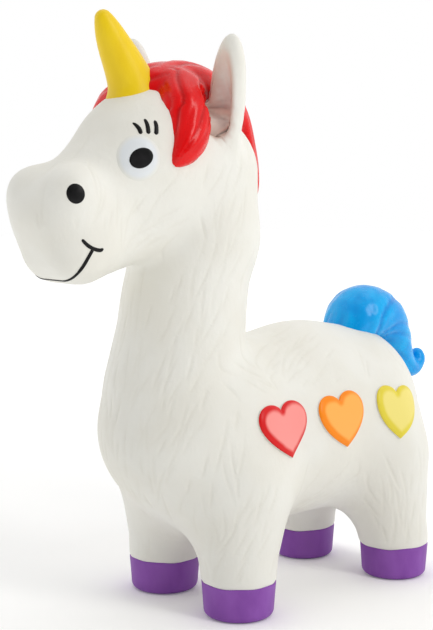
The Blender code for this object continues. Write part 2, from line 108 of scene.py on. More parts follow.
# %% Distances to an egg, a block and a rod
def vec(*values):
    return np.array(values, float)


def blend(a, b, radius):
    h = np.clip(0.5 + 0.5 * (b - a) / radius, 0.0, 1.0)
    return b * (1 - h) + a * h - radius * h * (1 - h)


def smooth(low, high, x):
    t = np.clip((x - low) / (high - low), 0, 1)
    return t * t * (3 - 2 * t)


def ball_cloud(centre, radius, rings=12):
    """Points on a ball. The hull of a few such clouds is a first, rough lump."""
    turn = np.linspace(0, 2 * math.pi, 2 * rings, endpoint=False)
    cloud = []
    for k in range(rings + 1):
        lift = math.pi * (k / rings - 0.5)
        cloud.append(np.stack([np.cos(turn) * math.cos(lift), np.sin(turn) * math.cos(lift),
                               np.full_like(turn, math.sin(lift))], 1))
    return vec(*centre) + radius * np.concatenate(cloud)


class Egg:
    def __init__(self, centre, radii):
        self.centre, self.radii = vec(*centre), vec(*radii)

    def distance(self, p):
        q = p - self.centre
        near = np.linalg.norm(q / self.radii, axis=-1)
        slope = np.linalg.norm(q / self.radii ** 2, axis=-1)
        return near * (near - 1) / np.maximum(slope, 1e-9)

    def clouds(self):
        return [self.centre + ball_cloud((0, 0, 0), 1) * self.radii]


class Block:
    """A box with round edges that nods forward by tilt degrees."""

    def __init__(self, centre, half, rounding, tilt):
        self.centre, self.half, self.rounding = vec(*centre), vec(*half), rounding
        angle = math.radians(tilt)
        self.turn = np.array([[1, 0, 0], [0, math.cos(angle), -math.sin(angle)],
                              [0, math.sin(angle), math.cos(angle)]])

    def distance(self, p):
        q = np.abs((p - self.centre) @ self.turn) - (self.half - self.rounding)
        outside = np.linalg.norm(np.maximum(q, 0), axis=-1)
        return outside + np.minimum(q.max(-1), 0) - self.rounding

    def clouds(self):
        inner = self.half - self.rounding
        corners = [ball_cloud(inner * vec(a, b, c), self.rounding, 6)
                   for a in (-1, 1) for b in (-1, 1) for c in (-1, 1)]
        return [self.centre + np.concatenate(corners) @ self.turn.T]


class Rod:
    """Balls in a row, (centre, radius), each joined to the next by a cone, in a frame of its own."""

    def __init__(self, *balls, squash=(1, 1, 1), join=3.0, origin=(0, 0, 0), axes=None):
        self.balls = [(vec(*centre), radius) for centre, radius in balls]
        self.squash, self.join, self.origin = vec(*squash), join, vec(*origin)
        self.axes = np.eye(3) if axes is None else axes

    def cone(self, p, a, ra, b, rb):
        axis = b - a
        length2 = axis @ axis
        drop = ra - rb
        side2 = length2 - drop * drop
        q = p - a
        y = q @ axis
        z = y - length2
        x2 = ((q * length2 - y[..., None] * axis) ** 2).sum(-1)
        y2, z2 = y * y * length2, z * z * length2
        edge = np.sign(drop) * drop * drop * x2
        side = (np.sqrt(x2 * side2 / length2) + y * drop) / length2 - ra
        far = np.sqrt(x2 + z2) / length2 - rb
        near = np.sqrt(x2 + y2) / length2 - ra
        ends = np.where(np.sign(y) * side2 * y2 < edge, near, side)
        return np.where(np.sign(z) * side2 * z2 > edge, far, ends)

    def local(self, p):
        return ((p - self.origin) @ self.axes) * self.squash

    def distance(self, p):
        q = self.local(p)
        whole = None
        for (a, ra), (b, rb) in zip(self.balls[:-1], self.balls[1:]):
            one = self.cone(q, a, ra, b, rb)
            whole = one if whole is None else blend(whole, one, self.join)
        return whole / self.squash.max()

    def clouds(self):
        pairs = zip(self.balls[:-1], self.balls[1:])
        return [self.origin + (np.concatenate([ball_cloud(*one), ball_cloud(*two)]) / self.squash)
                @ self.axes.T for one, two in pairs]


def smoothed(*balls, steps=4):
    """Balls on a smooth line through the given ones, each gap in as many steps."""
    p = np.array([(*centre, radius) for centre, radius in balls], float)
    p = np.concatenate([[2 * p[0] - p[1]], p, [2 * p[-1] - p[-2]]])
    out = []
    for a, b, c, d in zip(p[:-3], p[1:-2], p[2:-1], p[3:]):
        for t in np.linspace(0, 1, steps, endpoint=False):
            out.append(0.5 * (2 * b + (c - a) * t + (2 * a - 5 * b + 4 * c - d) * t * t
                              + (3 * b - a - 3 * c + d) * t ** 3))
    return [(tuple(row[:3]), row[3]) for row in out + [p[-2]]]


class Form:
    """Lumps blended one after another, then lumps carved out."""

    def __init__(self, *steps, carved=()):
        self.steps, self.carved = steps, carved

    def distance(self, p):
        whole = None
        for lump, radius in self.steps:
            one = lump.distance(p)
            whole = one if whole is None else blend(whole, one, radius)
        for lump, radius in self.carved:
            whole = -blend(-whole, lump.distance(p), radius)
        return whole

    def slope(self, p, step=0.05):
        here = self.distance(p)
        rise = [self.distance(p + step * axis) - here for axis in np.eye(3)]
        return here, np.stack(rise, 1) / step

    def clouds(self):
        return [cloud for lump, _ in self.steps for cloud in lump.clouds()]


print("lumps ready")

# %% [markdown]
# ## The unicorn's form
#
# The trunk is a rod that is taller than it is wide, with a ball for the chest, a low egg for the back and
# a neck that tapers upwards. The head is an egg for the skull, a rod for the bridge of the nose, a
# rounded block for the square muzzle, a rod for the jaw and a bump behind each nostril.

# %% The lumps of the body and the head
BACK_Z = 98.0
BODY_HALF = 32.3
BARREL_SQUASH = 0.892
HOOF_FLARE = 0.7
ANKLE = 1.0


def leg(name):
    x, y, radius = HOOVES[name]
    side = math.copysign(1.0, x)
    hip = ((side * 18.6, -39.0, 44), 19.6) if "front" in name else ((side * 18.0, y * 0.86, 46), 19.4)
    return Rod(((x, y, 4), radius - HOOF_FLARE - ANKLE), ((x, y, 14), radius - ANKLE), hip, join=4.0)


def ear_frame(side):
    """Axes of an ear: across, back and up, leaning outwards."""
    up = vec(side * 0.24, -0.09, 1)
    up /= np.linalg.norm(up)
    back = vec(side * -0.1, 1, 0)
    back -= up * (back @ up)
    back /= np.linalg.norm(back)
    return np.stack([np.cross(back, up), back, up], 1)


def ear(side):
    """An ear's leaf and the cup that is pressed into its front."""
    origin = (21.4, -45.5, 183.6) if side > 0 else (-24.6, -47.2, 186.4)
    axes = ear_frame(side)
    leaf = Rod(*smoothed(((0, 0, -17), 6.0), ((0, 0, -5), 7.1), ((0, 0, 7), 6.3), ((0, 0, 14.2), 4.3),
                         ((0, 0, 17.4), 2.0)), squash=(1, 1.4, 1), join=0.4, origin=origin, axes=axes)
    cup = Rod(*smoothed(((0, -5.4, -10), 5.0), ((0, -5.4, -2), 4.9), ((0, -5.3, 6), 3.9),
                        ((0, -5.1, 12), 2.2)), join=0.4, origin=origin, axes=axes)
    return leaf, cup


BARREL = Rod(((0, -32, (BACK_Z - 36.9) * BARREL_SQUASH), BODY_HALF - 0.55),
             ((0, 30.8, (BACK_Z - 35.8) * BARREL_SQUASH), BODY_HALF - 0.9), squash=(1, 1, BARREL_SQUASH))
TRUNK = [
    (BARREL, 0),
    (Egg((0, -48.2, 65.5), (30.6, 30.9, 31.5)), 12),
    (Egg((0, 7, BACK_Z - 18.6), (20, 27, 20)), 7),
    (Rod(((0, -51.3, 80), 26.0), ((0, -48.0, 110), 21.4), ((0, -43.1, 134), 22.7),
         ((0, -43, 156), 22.6), join=4.0), 3),
] + [(leg(name), 11) for name in HOOF_NAMES]
HEAD = [
    (Egg((0, -60, 162.5), (22.5, 25, 25)), 9),
    (Rod(((0, -72, 158), 20), ((0, -95, 143.5), 15.5)), 10),
    (Block((0, -97.2, 137.4), (18.3, 13.8, 17.8), 12.5, 20), 8),
    (Rod(((0, -60, 147), 18.5), ((0, -84, 134.0), 12)), 5),
    (Egg((11.5, -102.5, 149.5), (8.4, 8.4, 8.4)), 6),
    (Egg((-11.5, -102.5, 149.5), (8.4, 8.4, 8.4)), 6),
]
EARS = [ear(side) for side in (1, -1)]
SKIN = Form(*TRUNK, *HEAD, *[(leaf, 3) for leaf, _ in EARS], carved=[(cup, 2.0) for _, cup in EARS])
print("the skin is made of", len(SKIN.steps), "lumps")

# %% [markdown]
# ## From lumps to a mesh
#
# The hulls of the lumps are fused by a voxel remesh, which leaves even, small faces. Each vertex then
# slides along the slope of the distance function until it lies on the blended surface. Marching cubes
# would do the same job, but the remesh modifier is at hand and its faces follow the form well.

# %% Clay tools
def new_object(name, mesh):
    made = bpy.data.objects.new(name, mesh)
    bpy.context.scene.collection.objects.link(made)
    return made


def bake(made):
    """Replaces an object's mesh by the one its modifiers make."""
    graph = bpy.context.evaluated_depsgraph_get()
    mesh = bpy.data.meshes.new_from_object(made.evaluated_get(graph))
    made.modifiers.clear()
    made.data = mesh
    return made


def points_of(mesh):
    flat = np.empty(len(mesh.vertices) * 3)
    mesh.vertices.foreach_get("co", flat)
    return flat.reshape(-1, 3)


def mesh_from(name, points, faces):
    mesh = bpy.data.meshes.new(name)
    mesh.from_pydata(points.tolist(), [], faces if isinstance(faces, list) else faces.tolist())
    mesh.update()
    return mesh


def settle(p, form, level=0.0, rounds=6, reach=2.5):
    """Slides points along the form's slope to this distance from its surface."""
    for _ in range(rounds):
        here, slope = form.slope(p)
        move = slope * ((here - level) / np.maximum((slope ** 2).sum(1), 0.2))[:, None]
        size = np.linalg.norm(move, axis=1, keepdims=True)
        p = p - move * np.minimum(1.0, reach / np.maximum(size, 1e-9))
    return p


def sculpt(name, form, voxel, level=0.0):
    """Returns the form's points, in millimetres, and its triangles."""
    bm = bmesh.new()
    for cloud in form.clouds():
        hull = bmesh.ops.convex_hull(bm, input=[bm.verts.new(point) for point in cloud])
        bmesh.ops.delete(bm, geom=hull["geom_interior"], context="VERTS")
    mesh = bpy.data.meshes.new(name)
    bm.to_mesh(mesh)
    bm.free()
    clay = new_object(name, mesh)
    fuse = clay.modifiers.new("fuse", "REMESH")
    fuse.mode = "VOXEL"
    fuse.voxel_size = voxel
    bake(clay)
    p = settle(points_of(clay.data), form, level)
    clay.data.calc_loop_triangles()
    tris = np.array([t.vertices for t in clay.data.loop_triangles])
    bpy.data.objects.remove(clay)
    print(name, "has", len(p), "points and", len(tris), "triangles")
    return p, tris


def normals_of(p, tris):
    face = np.cross(p[tris[:, 1]] - p[tris[:, 0]], p[tris[:, 2]] - p[tris[:, 0]])
    total = np.zeros_like(p)
    for corner in range(3):
        np.add.at(total, tris[:, corner], face)
    return total / np.maximum(np.linalg.norm(total, axis=1, keepdims=True), 1e-9)


def place(p):
    """From millimetres around the hooves to metres in the frame."""
    return (p + vec(0, SHIFT_Y, 0)) * MM


def tag(mesh, name, values):
    """Keeps one number for each vertex, for a material or a node tree to read."""
    layer = mesh.attributes.new(name, "FLOAT", "POINT")
    layer.data.foreach_set("value", np.asarray(values, np.float32))


def inside_hooves(p):
    """Draws the ankles in a little, so that the hooves close over them like a coat of paint."""
    p = p.copy()
    for x, y, radius in HOOVES.values():
        axis = vec(x, y)
        out = p[:, :2] - axis
        away = np.linalg.norm(out, axis=1)
        near = (away < 18) & (p[:, 2] < hoof_top + 1.5)
        drawn = 0.8 * smooth(hoof_top + 1.0, hoof_top - 1.2, p[near, 2])
        p[near, :2] -= out[near] / np.maximum(away[near], 1.0)[:, None] * drawn[:, None]
        p[near, 2] = np.maximum(p[near, 2], 2.6)
    return p


skin_p, skin_tris = sculpt("skin_clay", SKIN, 1.7)

# %% [markdown]
# ## Which way the hair lies
#
# The strokes were cut in the mould with a loop tool, in bunches that follow the coat: down and forwards on
# the neck and shoulders, backwards on the hips, down over the cheeks. A direction for every place on the
# body is enough to lay them: each stroke starts at a scattered point and walks along that direction,
# settling on the skin at every step, so it bends with the form.

# %% Hair strokes as paths on the skin
rng = np.random.default_rng(7)

# Each tuft of hair on the left side: its root, its tip and how far it spreads. The right side mirrors it.
TUFTS = [
    ((22, -71, 156), (18, -76, 145), 5.5),      # under the eye
    ((20, -62, 143), (16, -73, 137), 5.0),      # cheek
    ((21, -57, 144), (21.5, -53.5, 133), 3.5),  # corner of the jaw
    ((21.5, -53, 127), (18.5, -62, 110), 7.0),  # under the jaw
    ((23, -42, 157), (23.5, -47, 134), 6.0),    # nape
    ((22, -49, 126), (21.5, -58, 103), 8.0),    # side of the neck
    ((19, -65, 98), (15, -74, 80), 8.0),        # base of the neck
    ((2, -70.5, 123), (1.5, -71.5, 109), 8.0),  # throat
    ((3.5, -75, 93), (3.6, -78, 83), 7.0),      # chest
    ((8, -77.5, 73), (5, -72, 52), 6.0),        # below the chest
    ((25, -64, 80), (21, -69.5, 66), 7.0),      # shoulder
    ((31.5, -50, 69), (33, -51.5, 57), 6.0),
    ((26, -61, 57), (23, -61, 47), 5.0),
    ((27.5, -58.5, 52), (29.5, -55, 39), 4.0),
    ((35.5, -42, 57), (36.5, -47, 44), 6.0),
    ((35, -46, 34), (30.5, -50, 21), 5.0),      # front leg
    ((14, -53, 24), (15, -52, 16), 5.0),
    ((16, -2, 95), (21, -18, 89), 7.5),         # saddle
    ((25, 5, 87), (29, -12, 79), 6.0),
    ((28, -45, 87), (29, -36, 82), 5.0),
    ((25, 13, 39), (19, -1, 34), 5.0),          # edge of the belly
    ((33, 19, 56), (35, 27, 41), 5.0),          # thigh
    ((32, 19, 46), (31.6, 28, 24), 4.5),
    ((26.6, 17, 37), (27.6, 23, 29), 4.0),
    ((37, 34.5, 48), (35.4, 35, 28), 6.0),
    ((18, 52, 78), (20, 58, 58), 9.0),          # rump
    ((8, 58, 50), (9, 56, 32), 8.0),
    ((19, -93, 152), (18.5, -96.7, 134), 6.0),  # side of the muzzle
]


def coat(p):
    """Which way the hair lies at each point, and how dense it is there, from 0 to 1."""
    side = np.where(p[:, :1] < 0, -1.0, 1.0)
    q = p * np.concatenate([side, np.ones((len(p), 2))], 1)
    lie = np.tile(vec(0, -0.3, -1) * 0.02, (len(p), 1))
    dense = np.full(len(p), 0.03)
    for root, tip, spread in TUFTS:
        root, tip = vec(*root), vec(*tip)
        axis = tip - root
        along = np.clip((q - root) @ axis / (axis @ axis), 0, 1)[:, None]
        gap = np.linalg.norm(q - root - along * axis, axis=1)
        weight = np.exp(-(gap / spread) ** 2)
        lie += weight[:, None] * axis / np.linalg.norm(axis)
        dense = np.maximum(dense, weight)
    return lie * np.concatenate([side, np.ones((len(p), 2))], 1), dense


def kept_clear(p):
    """True where no stroke may run: face, hearts, ears, hooves and belly."""
    x, y, z = np.abs(p[:, 0]), p[:, 1], p[:, 2]
    eye = np.linalg.norm(p * vec(0, 1, 1) - vec(0, -81.5, 160.9), axis=1) < 10.5
    nostril = np.linalg.norm(p * vec(0, 1, 1) - vec(0, -105.9, 149.3), axis=1) < 6
    lashes = (y < -70) & (y > -86) & (z > 166)
    hearts = (x > 20) & (y > -45) & (y < 46) & (z > 54) & (z < 80)
    mouth = (y < -90) & (z < 138)
    ears = (z > 172) & (y > -62)
    return eye | nostril | lashes | hearts | mouth | ears | (z < 14.5) | ((z < 33) & (x < 14))


def scattered(p, tris, count, gap):
    """Points spread over the tufts, none nearer to another than the gap."""
    a, b, c = (p[tris[:, k]] for k in range(3))
    area = np.linalg.norm(np.cross(b - a, c - a), axis=1)
    pick = rng.choice(len(tris), count, p=area / area.sum())
    u, v = rng.random((2, count, 1))
    flip = u + v > 1
    u, v = np.where(flip, 1 - u, u), np.where(flip, 1 - v, v)
    spots = a[pick] + u * (b - a)[pick] + v * (c - a)[pick]
    wanted = (rng.random(count) < coat(spots)[1]) & ~kept_clear(spots)
    kept = []
    for spot in spots[wanted]:
        if not kept or (np.linalg.norm((np.array(kept) - spot) * vec(1, 1, 0.4), axis=1) > gap).all():
            kept.append(spot)
    return np.array(kept)


def walk(starts, lengths, step=1.0):
    """A path for each start, as lists of points on the skin."""
    p = settle(starts, SKIN, rounds=3)
    swing = rng.uniform(-0.2, 0.2, (len(p), 1))
    bend = rng.uniform(-0.03, 0.03, (len(p), 1))
    paths = [[q] for q in p]
    for stride in range(int(lengths.max() / step)):
        _, normal = SKIN.slope(p)
        normal /= np.linalg.norm(normal, axis=1, keepdims=True)
        lie = coat(p)[0]
        lie -= normal * (lie * normal).sum(1, keepdims=True)
        lie /= np.maximum(np.linalg.norm(lie, axis=1, keepdims=True), 1e-6)
        side = np.cross(normal, lie)
        p = settle(p + step * (lie + side * (swing + bend * stride)), SKIN, rounds=1)
        lengths = np.where(kept_clear(p), 0, lengths)
        for k, q in enumerate(p):
            if (stride + 1) * step < lengths[k]:
                paths[k].append(q)
    return [path for path in paths if len(path) > 3]


starts = scattered(skin_p, skin_tris, 9000, 3.0)
strokes = walk(starts, rng.uniform(7, 19, len(starts)))
stroke_points = np.concatenate([np.array(path) for path in strokes])
print(len(strokes), "strokes,", len(stroke_points), "mm of hair in all")

# %% [markdown]
# ## Finer clay where the hair is
#
# A stroke is about a millimetre wide, and faces that small over the whole toy would be far too many. So only
# the triangles along a stroke are split: an edge gets a new point in its middle, and a triangle becomes two,
# three or four, depending on how many of its edges were split. No gaps can open, because both triangles at
# an edge see the same split.

# %% Splitting triangles near the strokes
def split(p, tris, marked):
    """Splits the marked edges. marked takes the two ends of every edge and says which to split."""
    pairs = np.sort(tris[:, [[0, 1], [1, 2], [2, 0]]].reshape(-1, 2), axis=1)
    edges, back = np.unique(pairs, axis=0, return_inverse=True)
    back = back.reshape(-1, 3)
    chosen = marked(p[edges[:, 0]], p[edges[:, 1]])
    middle = np.full(len(edges), -1)
    middle[chosen] = len(p) + np.arange(chosen.sum())
    p = np.concatenate([p, p[edges[chosen]].mean(1)])
    mids = middle[back]
    count = (mids >= 0).sum(1)
    out = [tris[count == 0]]
    whole = count == 3
    a, b, c = tris[whole].T
    ab, bc, ca = mids[whole].T
    out += [np.stack(t, 1) for t in ((a, ab, ca), (ab, b, bc), (ca, bc, c), (ab, bc, ca))]
    for turn in range(3):
        corners, cuts = np.roll(tris, -turn, 1), np.roll(mids, -turn, 1)
        one = (count == 1) & (cuts[:, 0] >= 0)
        a, b, c = corners[one].T
        ab = cuts[one, 0]
        out += [np.stack((a, ab, c), 1), np.stack((ab, b, c), 1)]
        two = (count == 2) & (cuts[:, 2] < 0)
        a, b, c = corners[two].T
        ab, bc, _ = cuts[two].T
        out += [np.stack(t, 1) for t in ((ab, b, bc), (a, ab, bc), (a, bc, c))]
    return p, np.concatenate(out)


stroke_tree = kdtree.KDTree(len(stroke_points))
for k, q in enumerate(stroke_points):
    stroke_tree.insert(q, k)
stroke_tree.balance()


def near_stroke(reach, longest):
    def marked(a, b):
        length = np.linalg.norm(a - b, axis=1)
        close = np.zeros(len(a), bool)
        for k in np.nonzero(length > longest)[0]:
            close[k] = stroke_tree.find((a[k] + b[k]) / 2)[2] < reach
        return close
    return marked


def thin_places(a, b):
    """Edges on the ears and round the ankles."""
    x, y, z = ((a + b) / 2).T
    ear_part = (z > 178) & (np.abs(x) > 14) & (y > -58)
    return (ear_part | ((z > 10) & (z < 15))) & (np.linalg.norm(a - b, axis=1) > 0.95)


skin_p, skin_tris = split(skin_p, skin_tris, thin_places)
skin_p = settle(skin_p, SKIN, rounds=3)
for reach, longest in ((1.4, 1.05), (0.78, 0.62)):
    skin_p, skin_tris = split(skin_p, skin_tris, near_stroke(reach, longest))
    skin_p = settle(skin_p, SKIN, rounds=2)
    print("split down to", longest, "mm:", len(skin_tris), "triangles")

# %% [markdown]
# ## Engraving with Geometry Nodes
#
# The groove itself follows a rule, so a node tree cuts it: for every point of the skin, Geometry Proximity
# gives the distance to the nearest stroke, a smooth map turns that into a rounded valley, and Set Position
# pushes the point in along its normal. How hard the tool was pressed is kept on the stroke's points, full
# in the middle and nothing at the ends, and the tree reads it from the nearest one.

# %% A small writer for node trees
def add_node(tree, kind, settings=None, **inputs):
    """Adds a node. Settings are set first. An input is named by its socket, or by _ and its number."""
    made = tree.nodes.new(kind)
    for key, value in (settings or {}).items():
        setattr(made, key, value)
    for key, value in inputs.items():
        socket = made.inputs[int(key[1:])] if key[0] == "_" else made.inputs[key.replace("_", " ")]
        if isinstance(value, bpy.types.NodeSocket):
            tree.links.new(value, socket)
        else:
            socket.default_value = value
    return made


def new_tree(name, **sockets):
    """A geometry tree with a Geometry input and output and the named inputs."""
    tree = bpy.data.node_groups.new(name, "GeometryNodeTree")
    face = tree.interface
    face.new_socket("Geometry", in_out="INPUT", socket_type="NodeSocketGeometry")
    face.new_socket("Geometry", in_out="OUTPUT", socket_type="NodeSocketGeometry")
    for key, kind in sockets.items():
        face.new_socket(key, in_out="INPUT", socket_type="NodeSocket" + kind)
    entry = tree.nodes.new("NodeGroupInput")
    return tree, {socket.name: socket for socket in entry.outputs}


def close_tree(tree, geometry, material):
    """Ends a tree the way the export needs it: real geometry with its material."""
    real = add_node(tree, "GeometryNodeRealizeInstances", _0=geometry)
    coat = add_node(tree, "GeometryNodeSetMaterial", _0=real.outputs[0], Material=material)
    exit_node = tree.nodes.new("NodeGroupOutput")
    tree.links.new(coat.outputs[0], exit_node.inputs[0])


def run_tree(made, tree, **values):
    """Sets a tree's inputs by their identifiers, runs it and keeps the plain mesh."""
    step = made.modifiers.new(tree.name, "NODES")
    step.node_group = tree
    for item in tree.interface.items_tree:
        if item.item_type == "SOCKET" and item.in_out == "INPUT" and item.name in values:
            step[item.identifier] = values[item.name]
    return bake(made)


print("node writer ready")

# %% The engraving tree
def engraving_tree():
    tree, given = new_tree("Engrave hair", Strokes="Object", Depth="Float", Width="Float",
                           Material="Material")
    guide = add_node(tree, "GeometryNodeObjectInfo", Object=given["Strokes"]).outputs["Geometry"]
    near = add_node(tree, "GeometryNodeProximity", {"target_element": "EDGES"}, _0=guide)
    index = add_node(tree, "GeometryNodeSampleNearest", Geometry=guide)
    press = add_node(tree, "GeometryNodeInputNamedAttribute", {"data_type": "FLOAT"}, Name="press")
    pressed = add_node(tree, "GeometryNodeSampleIndex", {"data_type": "FLOAT"}, Geometry=guide,
                       Value=press.outputs[0], Index=index.outputs[0])
    valley = add_node(tree, "ShaderNodeMapRange", {"interpolation_type": "SMOOTHSTEP"},
                      Value=near.outputs["Distance"], _2=given["Width"], _3=1.0, _4=0.0)
    groove = add_node(tree, "ShaderNodeMath", {"operation": "MULTIPLY"}, _0=valley.outputs[0],
                      _1=pressed.outputs[0])
    depth = add_node(tree, "ShaderNodeMath", {"operation": "MULTIPLY"}, _0=groove.outputs[0],
                     _1=given["Depth"])
    sink = add_node(tree, "ShaderNodeMath", {"operation": "MULTIPLY"}, _0=depth.outputs[0], _1=-1.0)
    normal = add_node(tree, "GeometryNodeInputNormal")
    push = add_node(tree, "ShaderNodeVectorMath", {"operation": "SCALE"}, _0=normal.outputs[0],
                    Scale=sink.outputs[0])
    moved = add_node(tree, "GeometryNodeSetPosition", Geometry=given["Geometry"],
                     Offset=push.outputs[0])
    kept = add_node(tree, "GeometryNodeStoreNamedAttribute", {"data_type": "FLOAT", "domain": "POINT"},
                    Geometry=moved.outputs[0], Name="groove", Value=groove.outputs[0])
    close_tree(tree, kept.outputs[0], given["Material"])
    return tree


def stroke_guide():
    """All the strokes as one mesh of edges that remembers how hard the tool was pressed."""
    points, edges, press = [], [], []
    for path in strokes:
        base, count = len(points), len(path)
        points += path
        edges += [(base + k, base + k + 1) for k in range(count - 1)]
        firm = rng.uniform(0.6, 1.0)
        press += [firm * math.sin(math.pi * (k + 0.35) / count) ** 0.6 for k in range(count)]
    mesh = bpy.data.meshes.new("stroke_guide")
    mesh.from_pydata(place(np.array(points)).tolist(), edges, [])
    tag(mesh, "press", press)
    return new_object("stroke_guide", mesh)


engrave = engraving_tree()
print("engraving tree has", len(engrave.nodes), "nodes")

# %% [markdown]
# ## Finishes
#
# The toy is bare latex with hand-brushed paint on it. Latex is off-white and silky, with painted shade, a
# little darker and warmer, along the engraved lines. Each paint is one colour laid thicker and thinner, so it
# pales where it was rubbed thin, and it is darker in the valleys as painted shade. A small class lets the
# shader's sums be written as plain Python expressions, which reads better than a list of nodes.

# %% A way to write shader sums
class Wire:
    """A shader socket that can be added, multiplied and compared like a number."""

    def __init__(self, tree, socket):
        self.tree, self.socket = tree, socket

    def maths(self, operation, *values):
        made = self.tree.nodes.new("ShaderNodeMath")
        made.operation = operation
        for socket, value in zip(made.inputs, values):
            if isinstance(value, Wire):
                self.tree.links.new(value.socket, socket)
            else:
                socket.default_value = value
        return Wire(self.tree, made.outputs[0])

    def __add__(self, other):
        return self.maths("ADD", self, other)

    def __sub__(self, other):
        return self.maths("SUBTRACT", self, other)

    def __rsub__(self, other):
        return self.maths("SUBTRACT", other, self)

    def __mul__(self, other):
        return self.maths("MULTIPLY", self, other)

    __radd__, __rmul__ = __add__, __mul__

    def clipped(self, low, high):
        """0 below low, 1 above high and smooth in between."""
        made = self.tree.nodes.new("ShaderNodeMapRange")
        made.interpolation_type = "SMOOTHSTEP"
        self.tree.links.new(self.socket, made.inputs[0])
        made.inputs[1].default_value, made.inputs[2].default_value = low, high
        return Wire(self.tree, made.outputs[0])


def linear(red, green, blue):
    """A screen colour, 0 to 255, as the linear values that a shader takes."""
    return (*[((c / 255 + 0.055) / 1.055) ** 2.4 if c > 10 else c / 255 / 12.92
              for c in (red, green, blue)], 1.0)


class Finish:
    """A material with one Principled shader and short ways to reach the usual nodes."""

    def __init__(self, name, **constants):
        self.material = bpy.data.materials.new(name)
        self.material.use_nodes = True
        self.tree = self.material.node_tree
        self.shader = self.tree.nodes["Principled BSDF"]
        for key, value in constants.items():
            self.shader.inputs[key.replace("_", " ")].default_value = value

    def node(self, kind, output=0, settings=None, **inputs):
        made = add_node(self.tree, kind, settings, **{
            key: value.socket if isinstance(value, Wire) else value for key, value in inputs.items()})
        return Wire(self.tree, made.outputs[output])

    def place(self):
        return self.node("ShaderNodeTexCoord", "Object")

    def stored(self, name):
        return self.node("ShaderNodeAttribute", "Fac", {"attribute_name": name})

    def noise(self, scale, detail=2.0, stretch=(1, 1, 1)):
        """Noise with this many lumps to a metre."""
        at = self.node("ShaderNodeVectorMath", 0, {"operation": "MULTIPLY"}, _0=self.place(), _1=stretch)
        return self.node("ShaderNodeTexNoise", "Fac", Vector=at, Scale=scale, Detail=detail)

    def mix(self, share, low, high):
        """The colour low where share is 0 and high where it is 1."""
        return self.node("ShaderNodeMix", 2, {"data_type": "RGBA"}, _0=share, _6=low, _7=high)

    def bumps(self, height, distance, strength=1.0):
        """Normals for a height in units of distance, in metres."""
        return self.node("ShaderNodeBump", 0, Height=height, Distance=distance, Strength=strength)

    def use(self, **wires):
        for key, wire in wires.items():
            self.tree.links.new(wire.socket, self.shader.inputs[key.replace("_", " ")])
        return self.material


LATEX = linear(230, 228, 220)
LATEX_SHADE = linear(205, 200, 182)


def latex():
    """Bare latex, with the airbrushed blush in the ears and painted shade along the engraved lines."""
    skin = Finish("bare latex", Specular_IOR_Level=0.3)
    patches = skin.noise(45, 3.0).clipped(0.3, 0.7)
    ground = skin.mix(patches, linear(228, 226, 217), linear(232, 231, 224))
    # Painted shade: the colour turns a little towards LATEX_SHADE along the engraved lines, where less light
    # falls.
    groove_shaded = skin.mix(skin.stored("groove") * 0.14, ground, LATEX_SHADE)
    blush = skin.stored("blush") * (skin.noise(160) * 0.5 + 0.72)
    colour = skin.mix(blush, groove_shaded, linear(214, 192, 178))
    rough = skin.noise(700, 4.0) * 0.14 + 0.47
    surface = skin.noise(260, 3.0) + skin.noise(900, 2.0, (1.0, 1.0, 0.35)) * 0.35
    return skin.use(Base_Color=colour, Roughness=rough, Normal=skin.bumps(surface, 0.00022, 0.8))


def brushed_paint(name, thin, full, deep, gloss, streaks=(1, 1, 1)):
    """Paint by brush: thin and full are its colour where rubbed and well covered; deep is painted shade, laid
    where the valley attribute is high.
    """
    coat_ = Finish(name, Specular_IOR_Level=0.3)
    cover = coat_.noise(110, 4.0, streaks).clipped(0.3, 0.72)
    ground = coat_.mix(cover, thin, full)
    # Painted shade: the colour turns towards deep in the valleys between strands, where locks meet and at the
    # soles of the hooves.
    valley_shaded = coat_.mix(coat_.stored("valley").clipped(0.1, 1.2) * 0.75, ground, deep)
    surface = coat_.noise(420, 3.0, streaks)
    rough = (1.0 - gloss) + coat_.noise(300, 3.0) * 0.14 - 0.07
    return coat_.use(Base_Color=valley_shaded, Roughness=rough, Normal=coat_.bumps(surface, 0.00012, 0.7))


def heart_paint(name, rim, middle):
    """Paint on a raised heart: its own deep colour round the rim, a painted highlight in the pale middle, bare
    latex on its side wall.
    """
    heart = Finish(name, Specular_IOR_Level=0.3)
    # The pale middle colour is a painted highlight, the lamp's reflection on the glossy top; the rim colour is
    # the paint's own.
    inwards = heart.stored("inwards") + heart.noise(170, 2.0) * 0.9 - 0.45
    painted = heart.mix(inwards.clipped(1.0, 2.7), rim, middle)
    wall = heart.stored("wall")
    colour = heart.mix(wall, painted, LATEX)
    rough = heart.noise(240) * 0.12 + 0.3 + wall * 0.2
    return heart.use(Base_Color=colour, Roughness=rough,
                     Normal=heart.bumps(heart.noise(380, 3.0), 0.0001, 0.6))


def eye_paint():
    """Cool white paint that fades into the latex round the eye."""
    eye = Finish("eye white paint", Specular_IOR_Level=0.45)
    inwards = eye.stored("inwards").clipped(0.1, 1.9)
    colour = eye.mix(inwards, linear(226, 226, 220), linear(222, 226, 229))
    rough = eye.noise(300) * 0.1 + 0.4
    return eye.use(Base_Color=colour, Roughness=rough,
                   Normal=eye.bumps(eye.noise(300, 2.0), 0.0001, 0.5))


def black_paint():
    black = Finish("black face paint", Specular_IOR_Level=0.2)
    colour = black.mix(black.noise(500, 3.0).clipped(0.3, 0.7), linear(9, 9, 10), linear(20, 19, 21))
    rough = black.noise(420) * 0.16 + 0.34
    return black.use(Base_Color=colour, Roughness=rough,
                     Normal=black.bumps(black.noise(700, 2.0), 0.0001, 0.6))


